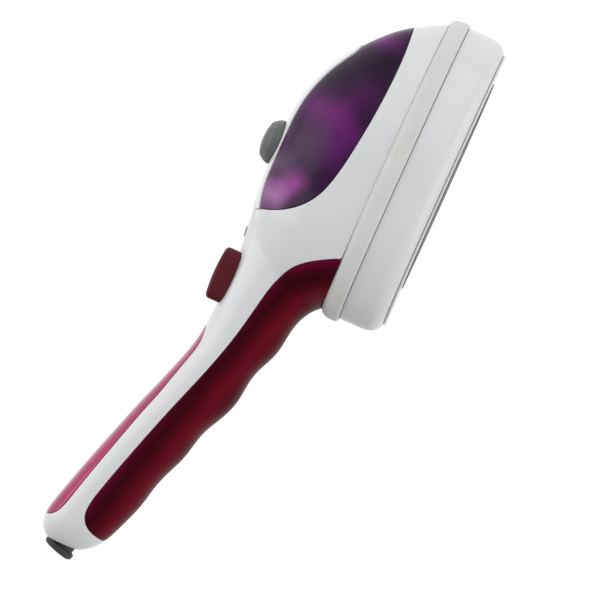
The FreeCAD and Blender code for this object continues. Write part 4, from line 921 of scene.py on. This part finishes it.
def plate_with_holes(name, outer, holes, z0, z1, r):
    """Flat plate between z0 and z1 with rounded edges; loops are (points, centre inset sign)."""
    loops = [(np.array(outer, float), 1.0)] + [(np.array(h, float), -1.0) for h in holes]
    lv = [(z0, r)] + [(z0 + r * (1 - math.cos(a)), r * (1 - math.sin(a))) for a in
                      (math.pi / 8, math.pi / 4, 3 * math.pi / 8)] + [(z0 + r, 0.0)]
    lv = lv + [(z0 + z1 - z, i) for z, i in lv[::-1]]
    V, faces, ends = [], [], {0: [], 1: []}
    for p, sg in loops:
        m = len(p)
        t = np.roll(p, -1, 0) - np.roll(p, 1, 0)
        t /= np.linalg.norm(t, axis=1)[:, None]
        nn = np.stack([t[:, 1], -t[:, 0]], 1)
        area = (p[:, 0] * np.roll(p[:, 1], -1) - np.roll(p[:, 0], -1) * p[:, 1]).sum()
        if area < 0:
            nn = -nn
        base = len(V)
        for z, i in lv:
            V += [(x, y, z) for x, y in (p - nn * i * sg)]
        for row in range(len(lv) - 1):
            for j in range(m):
                k = (j + 1) % m
                faces.append((base + row * m + j, base + row * m + k, base + (row + 1) * m + k, base + (row + 1) * m + j))
        ends[0].append(list(range(base, base + m)))
        ends[1].append(list(range(base + (len(lv) - 1) * m, base + len(lv) * m)))
    for side in (0, 1):
        ids = [i for loop in ends[side] for i in loop]
        pos = {v: k for k, v in enumerate(ids)}
        pts = [Vector((V[i][0], V[i][1])) for i in ids]
        edges = []
        for loop in ends[side]:
            edges += [(pos[a], pos[b]) for a, b in zip(loop, loop[1:] + loop[:1])]
        res = geometry.delaunay_2d_cdt(pts, edges, [], 0, 1e-7)
        nv, ne, nf, vo = res[0], res[1], res[2], res[3]
        hole_polys = [np.array([V[i][:2] for i in loop]) for loop in ends[side][1:]]
        out_poly = np.array([V[i][:2] for i in ends[side][0]])
        C = np.array([[(nv[a].x + nv[b].x + nv[c].x) / 3, (nv[a].y + nv[b].y + nv[c].y) / 3] for a, b, c in nf])

        def inside(poly, C):
            x, y = C[:, 0], C[:, 1]
            r_ = np.zeros(len(C), bool)
            a, b = poly, np.roll(poly, -1, 0)
            for (ax, ay), (bx, by) in zip(a, b):
                hit = ((ay > y) != (by > y)) & (x < (bx - ax) * (y - ay) / ((by - ay) if by != ay else 1e-12) + ax)
                r_ ^= hit
            return r_

        ok = inside(out_poly, C)
        for h in hole_polys:
            ok &= ~inside(h, C)
        m2 = [ids[o[0]] if o else None for o in vo]
        for f, good in zip(nf, ok):
            if good:
                faces.append(tuple(m2[i] for i in f))
    o = make_mesh(name, V, faces, smooth=True)
    fix_outward(o)
    sharpen(o, 25)
    return o


def sharpen(o, deg):
    o.data.set_sharp_from_angle(angle=math.radians(deg))


def circle(x, y, r, k=20):
    a = np.linspace(0, 2 * math.pi, k + 1)[:-1]
    return np.stack([x + r * np.cos(a), y + r * np.sin(a)], 1)


HOLES = []
for inset, count, off in ((7.0, 26, 0.0), (12.5, 16, 0.5)):
    ringp = egg(PLATE_PLAN, 0, inset, k=count * 8)
    for i in range(count):
        HOLES.append(tuple(ringp[int((i + off) * 8) % (count * 8)]))
HOLES += [(x, 0.0) for x in (-26.0, -15.0, -5.0, 5.0, 15.0, 25.0, 35.0)]
place(plate_with_holes("steam_plate", egg(PLATE_PLAN, 0, 0.02, 220), [circle(x, y, 1.0) for x, y in HOLES], 0.0, 2.2,
                       0.28), PLATE, "housing", "soleplate", slot="plate_metal")
place(plate_with_holes("plate_bezel", egg(FRAME_PLAN, OUTLINE_X, 0.02, 260), [egg(PLATE_PLAN, 0, -0.35, 220)], 0.3, 1.28,
                       0.25), WHITE, "housing", "sole_frame", slot="body_white")

# ================================================================= button, plug, lens, gland
def button_cap():
    hx, hy, rc = BUTTON_L / 2, BUTTON_W / 2, 3.6
    k = 160
    th = np.linspace(0, 2 * math.pi, k + 1)[:-1]
    # outline by marching from the centre to the rounded rectangle's edge
    lo, hi = np.zeros(k), np.full(k, 30.0)
    for _ in range(50):
        m = (lo + hi) / 2
        d = slab_field(m * np.cos(th), m * np.sin(th), hx, hy, rc)[0]
        lo, hi = np.where(d > 0, m, lo), np.where(d > 0, hi, m)
    R = (lo + hi) / 2
    ring_s = 1 - np.concatenate([np.linspace(0, 0.05, 6), np.linspace(0.065, 0.25, 9), np.linspace(0.30, 0.94, 13)])
    r_edge = 1.9

    def top(u, v):
        d = np.maximum(slab_field(u, v, hx, hy, rc)[0], 0)
        w = np.clip(d / r_edge, 0, 1)
        fil = r_edge * (1 - np.sqrt(np.clip(1 - (1 - w) ** 2, 0, 1)))
        return BUTTON_TOP - 0.35 - 1.0 * (u / hx) ** 2 - 0.35 * (v / hy) ** 2 - fil * 0.92

    V, rows = [], []
    for z in (73.4, 75.0, 77.0, 79.0, 80.6):
        rows.append([len(V) + i for i in range(k)])
        V += [(BUTTON_X + R[i] * math.cos(th[i]), R[i] * math.sin(th[i]), z) for i in range(k)]
    for s in ring_s:
        u, v = R * s * np.cos(th), R * s * np.sin(th)
        z = top(u, v)
        rows.append([len(V) + i for i in range(k)])
        V += [(BUTTON_X + a, b, c) for a, b, c in zip(u, v, z)]
    faces = []
    for a, b in zip(rows, rows[1:]):
        faces += [(a[i], a[(i + 1) % k], b[(i + 1) % k], b[i]) for i in range(k)]
    c = len(V)
    V.append((BUTTON_X, 0, float(top(np.zeros(1), np.zeros(1))[0])))
    faces += [(rows[-1][i], rows[-1][(i + 1) % k], c) for i in range(k)]
    c2 = len(V)
    V.append((BUTTON_X, 0, 73.4))
    faces += [(rows[0][(i + 1) % k], rows[0][i], c2) for i in range(k)]
    o = make_mesh("push_button", V, faces)
    fix_outward(o)
    sharpen(o, 50)
    return o


place(button_cap(), BUTTON, "steam_button", "steam_button", slot="button_maroon")


def plug_dome():
    k = 128
    prof = fillet_path([(0, 88.8), (4.2, 88.75), (8.3, 87.6), (10.55, 84.4), (10.95, 82.6)], [0, 3, 3.2, 2.5, 0], 7)
    th = np.linspace(0, 2 * math.pi, k + 1)[:-1]
    cx, cy = np.cos(th), np.sin(th)
    V, rows = [(PLUG_X, 0, 88.8)], []
    for r, h in prof[1:]:
        rows.append([len(V) + i for i in range(k)])
        V += [(PLUG_X + r * a, r * b, h) for a, b in zip(cx, cy)]
    for r, up in ((10.95, 0.55), (10.75, 0.36), (10.3, 0.32), (7.3, 0.32)):
        z = crown(PLUG_X + r * cx, r * cy) + spine_rise(PLUG_X + r * cx) + up
        rows.append([len(V) + i for i in range(k)])
        V += [(PLUG_X + r * a, r * b, c) for a, b, c in zip(cx, cy, z)]
    for r, h in ((7.0, 80.5), (7.0, 75.6), (6.0, 75.0), (5.4, 74.65)):
        rows.append([len(V) + i for i in range(k)])
        V += [(PLUG_X + r * a, r * b, h) for a, b in zip(cx, cy)]
    faces = [(0, rows[0][i], rows[0][(i + 1) % k]) for i in range(k)]
    for a, b in zip(rows, rows[1:]):
        faces += [(a[i], b[i], b[(i + 1) % k], a[(i + 1) % k]) for i in range(k)]
    c = len(V)
    V.append((PLUG_X, 0, 74.65))
    faces += [(rows[-1][(i + 1) % k], rows[-1][i], c) for i in range(k)]
    o = make_mesh("plug_cap", V, faces)
    fix_outward(o)
    sharpen(o, 50)
    return o


place(plug_dome(), PLUG, "filler_plug", "filler_plug", slot="plug_grey")


def coil_spring(name, node, wire, turns):
    """Compression spring with flattened end turns, as long as its node."""
    lo, hi = (np.array(c, float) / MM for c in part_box(node))
    cx, r = (lo[0] + hi[0]) / 2, (hi[0] - lo[0]) / 2 - wire
    n, m = 72 * turns, 16
    t = np.linspace(0, 1, n + 1)
    e = 0.8 / turns
    up_ = np.clip((t - e) / (1 - 2 * e), 0, 1)
    up_ = 0.86 * up_ + 0.14 * up_ * up_ * (3 - 2 * up_)
    ang = 2 * math.pi * turns * t
    rad = np.stack([np.cos(ang), np.sin(ang), 0 * ang], 1)
    mid = rad * r + np.array([cx, 0, 0])
    mid[:, 2] = lo[2] + wire + (hi[2] - lo[2] - 2 * wire) * up_
    tan = np.gradient(mid, axis=0)
    tan /= np.linalg.norm(tan, axis=1)[:, None]
    bi = np.cross(tan, rad)
    ph = np.linspace(0, 2 * math.pi, m + 1)[:-1]
    V = (mid[:, None] + wire * (np.cos(ph)[None, :, None] * rad[:, None] + np.sin(ph)[None, :, None] * bi[:, None]))
    V = [tuple(q) for q in V.reshape(-1, 3)] + [tuple(mid[0]), tuple(mid[-1])]
    faces = []
    for i in range(n):
        for j in range(m):
            a, b = i * m + j, i * m + (j + 1) % m
            faces.append((a, b, b + m, a + m))
    last = n * m
    for j in range(m):
        faces.append(((j + 1) % m, j, (n + 1) * m))
        faces.append((last + j, last + (j + 1) % m, (n + 1) * m + 1))
    o = make_mesh(name, V, faces)
    fix_outward(o)
    return o


o = place(coil_spring("return_spring", "pump_spring", 0.45, 6), STEEL, "housing", "pump_spring")
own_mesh(o)
LZ = float(top_line(LENS_X))
o = turned("lamp_lens", fillet_path([(0, LZ + 0.60), (1.9, LZ + 0.44), (2.38, LZ - 0.2), (2.38, LZ - 3.3), (0, LZ - 3.3)],
                                    [0, 1.2, 0.3, 0.3, 0], 6), (LENS_X, 0, 0), k=64)
for vert in o.data.vertices:
    u = vert.co.x - LENS_X * MM
    vert.co.x += 0.3 * u
    vert.co.z += 0.16 * u
place(o, LENS, "housing", "indicator_lens", slot="lens_red")
gl = fillet_path([(3.6, 0.0), (3.6, -3.2), (6.6, -3.2), (7.6, -2.3), (7.6, -0.2), (6.1, 0.4), (6.1, 5.2), (7.2, 5.6),
                  (7.2, 7.4), (3.6, 7.4)], [0, 0.7, 0.8, 0.6, 0.4, 0.3, 0.2, 0.3, 0.3, 0], 4)
o = turned("cord_grommet", gl, tuple(BUTT), tuple(-BACK), k=96)
sharpen(o, 40)
place(o, RUBBER, "housing", "cord_gland", slot="gland_rubber")

# ================================================================= floor, light and camera
CENTRE = Vector((-72.6, 0.0, 41.7)) * MM
ROLL = math.radians(65.7)
ELEV = math.radians(-2.7)
DIST = 1.6
right = Vector((math.cos(ROLL), 0, -math.sin(ROLL)))
up = Vector((math.sin(ROLL), 0, math.cos(ROLL)))
back = Vector((0, -math.cos(ELEV), math.sin(ELEV)))
up = (up - back * up.dot(back)).normalized()
right = up.cross(back).normalized()
up = back.cross(right)
cam_data = bpy.data.cameras.new("cam")
cam = bpy.data.objects.new("cam", cam_data)
bpy.context.scene.collection.objects.link(cam)
cam_data.sensor_width = 36.0
cam_data.lens = 36.0 * DIST / 0.282
cam_data.clip_start, cam_data.clip_end = 0.05, 50.0
m = Matrix((right, up, back)).transposed().to_4x4()
m.translation = CENTRE + back * DIST
cam.matrix_world = m
bpy.context.scene.camera = cam

def plain(name, strength):
    m, nt, b = mat_new(name)
    v = coords(nt)
    nt.links.new(ramp(nt, noise(nt, v, 3.0, 4.0), [(0.3, (0.80, 0.80, 0.80)), (0.7, (0.84, 0.84, 0.84))]),
                 b.inputs["Base Color"])
    b.inputs["Roughness"].default_value = 0.9
    b.inputs["Emission Color"].default_value = (1, 1, 1, 1)
    b.inputs["Emission Strength"].default_value = strength
    return m


def sheet(name, loc, rot, size, strength):
    bpy.ops.mesh.primitive_plane_add(size=size, location=loc, rotation=rot)
    o = bpy.context.object
    o.name = name
    o.data.materials.append(plain(name + "_paint", strength))
    return o


sheet("floor", (0, 0, -1.9), (0, 0, 0), 14.0, 0.10)

# a light tent: bright behind and on all sides, dimmer on the open front, a little dimmer towards the heel
world = bpy.data.worlds.new("world")
bpy.context.scene.world = world
world.use_nodes = True
nt = world.node_tree
bg = nt.nodes["Background"]
bg.inputs["Color"].default_value = (1.0, 1.0, 1.0, 1)
tc = nt.nodes.new("ShaderNodeTexCoord")


def along(d):
    n = nt.nodes.new("ShaderNodeVectorMath")
    n.operation = "DOT_PRODUCT"
    nt.links.new(tc.outputs["Generated"], n.inputs[0])
    n.inputs[1].default_value = d
    return n.outputs["Value"]


front = nt.nodes.new("ShaderNodeMapRange")
front.interpolation_type = "SMOOTHSTEP"
for key, val in (("From Min", -0.10), ("From Max", 0.85), ("To Min", 1.09), ("To Max", 0.60)):
    front.inputs[key].default_value = val
nt.links.new(along(tuple(back)), front.inputs["Value"])
tilt = nt.nodes.new("ShaderNodeMapRange")
for key, val in (("From Min", -1.0), ("From Max", 0.06), ("To Min", 0.22), ("To Max", 1.03)):
    tilt.inputs[key].default_value = val
nt.links.new(along(tuple(up)), tilt.inputs["Value"])
mul = nt.nodes.new("ShaderNodeMath")
mul.operation = "MULTIPLY"
nt.links.new(front.outputs["Result"], mul.inputs[0])
nt.links.new(tilt.outputs["Result"], mul.inputs[1])
nt.links.new(mul.outputs[0], bg.inputs["Strength"])


def area(name, direction, dist, size, power, colour=(1, 1, 1)):
    """Soft box that shines at the object from a direction."""
    t0 = Vector((-0.04, 0, 0.05))
    loc = t0 + Vector(direction).normalized() * dist
    d = bpy.data.lights.new(name, "AREA")
    d.shape = "RECTANGLE"
    d.size, d.size_y = size
    d.energy = power
    d.color = colour
    o = bpy.data.objects.new(name, d)
    bpy.context.scene.collection.objects.link(o)
    o.location = loc
    o.rotation_mode = "QUATERNION"
    o.rotation_quaternion = (t0 - loc).to_track_quat("-Z", "Y")
    return o


# directions are picture-up, picture-right and towards the camera
def aim(u, r, b_):
    return up * u + right * r + back * b_


area("key", aim(0.75, 0.25, 1.0), 1.3, (0.9, 0.9), 2.6)
area("low", aim(-0.12, 1.0, 0.50), 1.4, (0.9, 1.2), 3.6)
area("side", aim(0.45, -1.0, 0.40), 1.6, (1.2, 1.4), 6.8)
bpy.context.scene.view_settings.view_transform = "Standard"
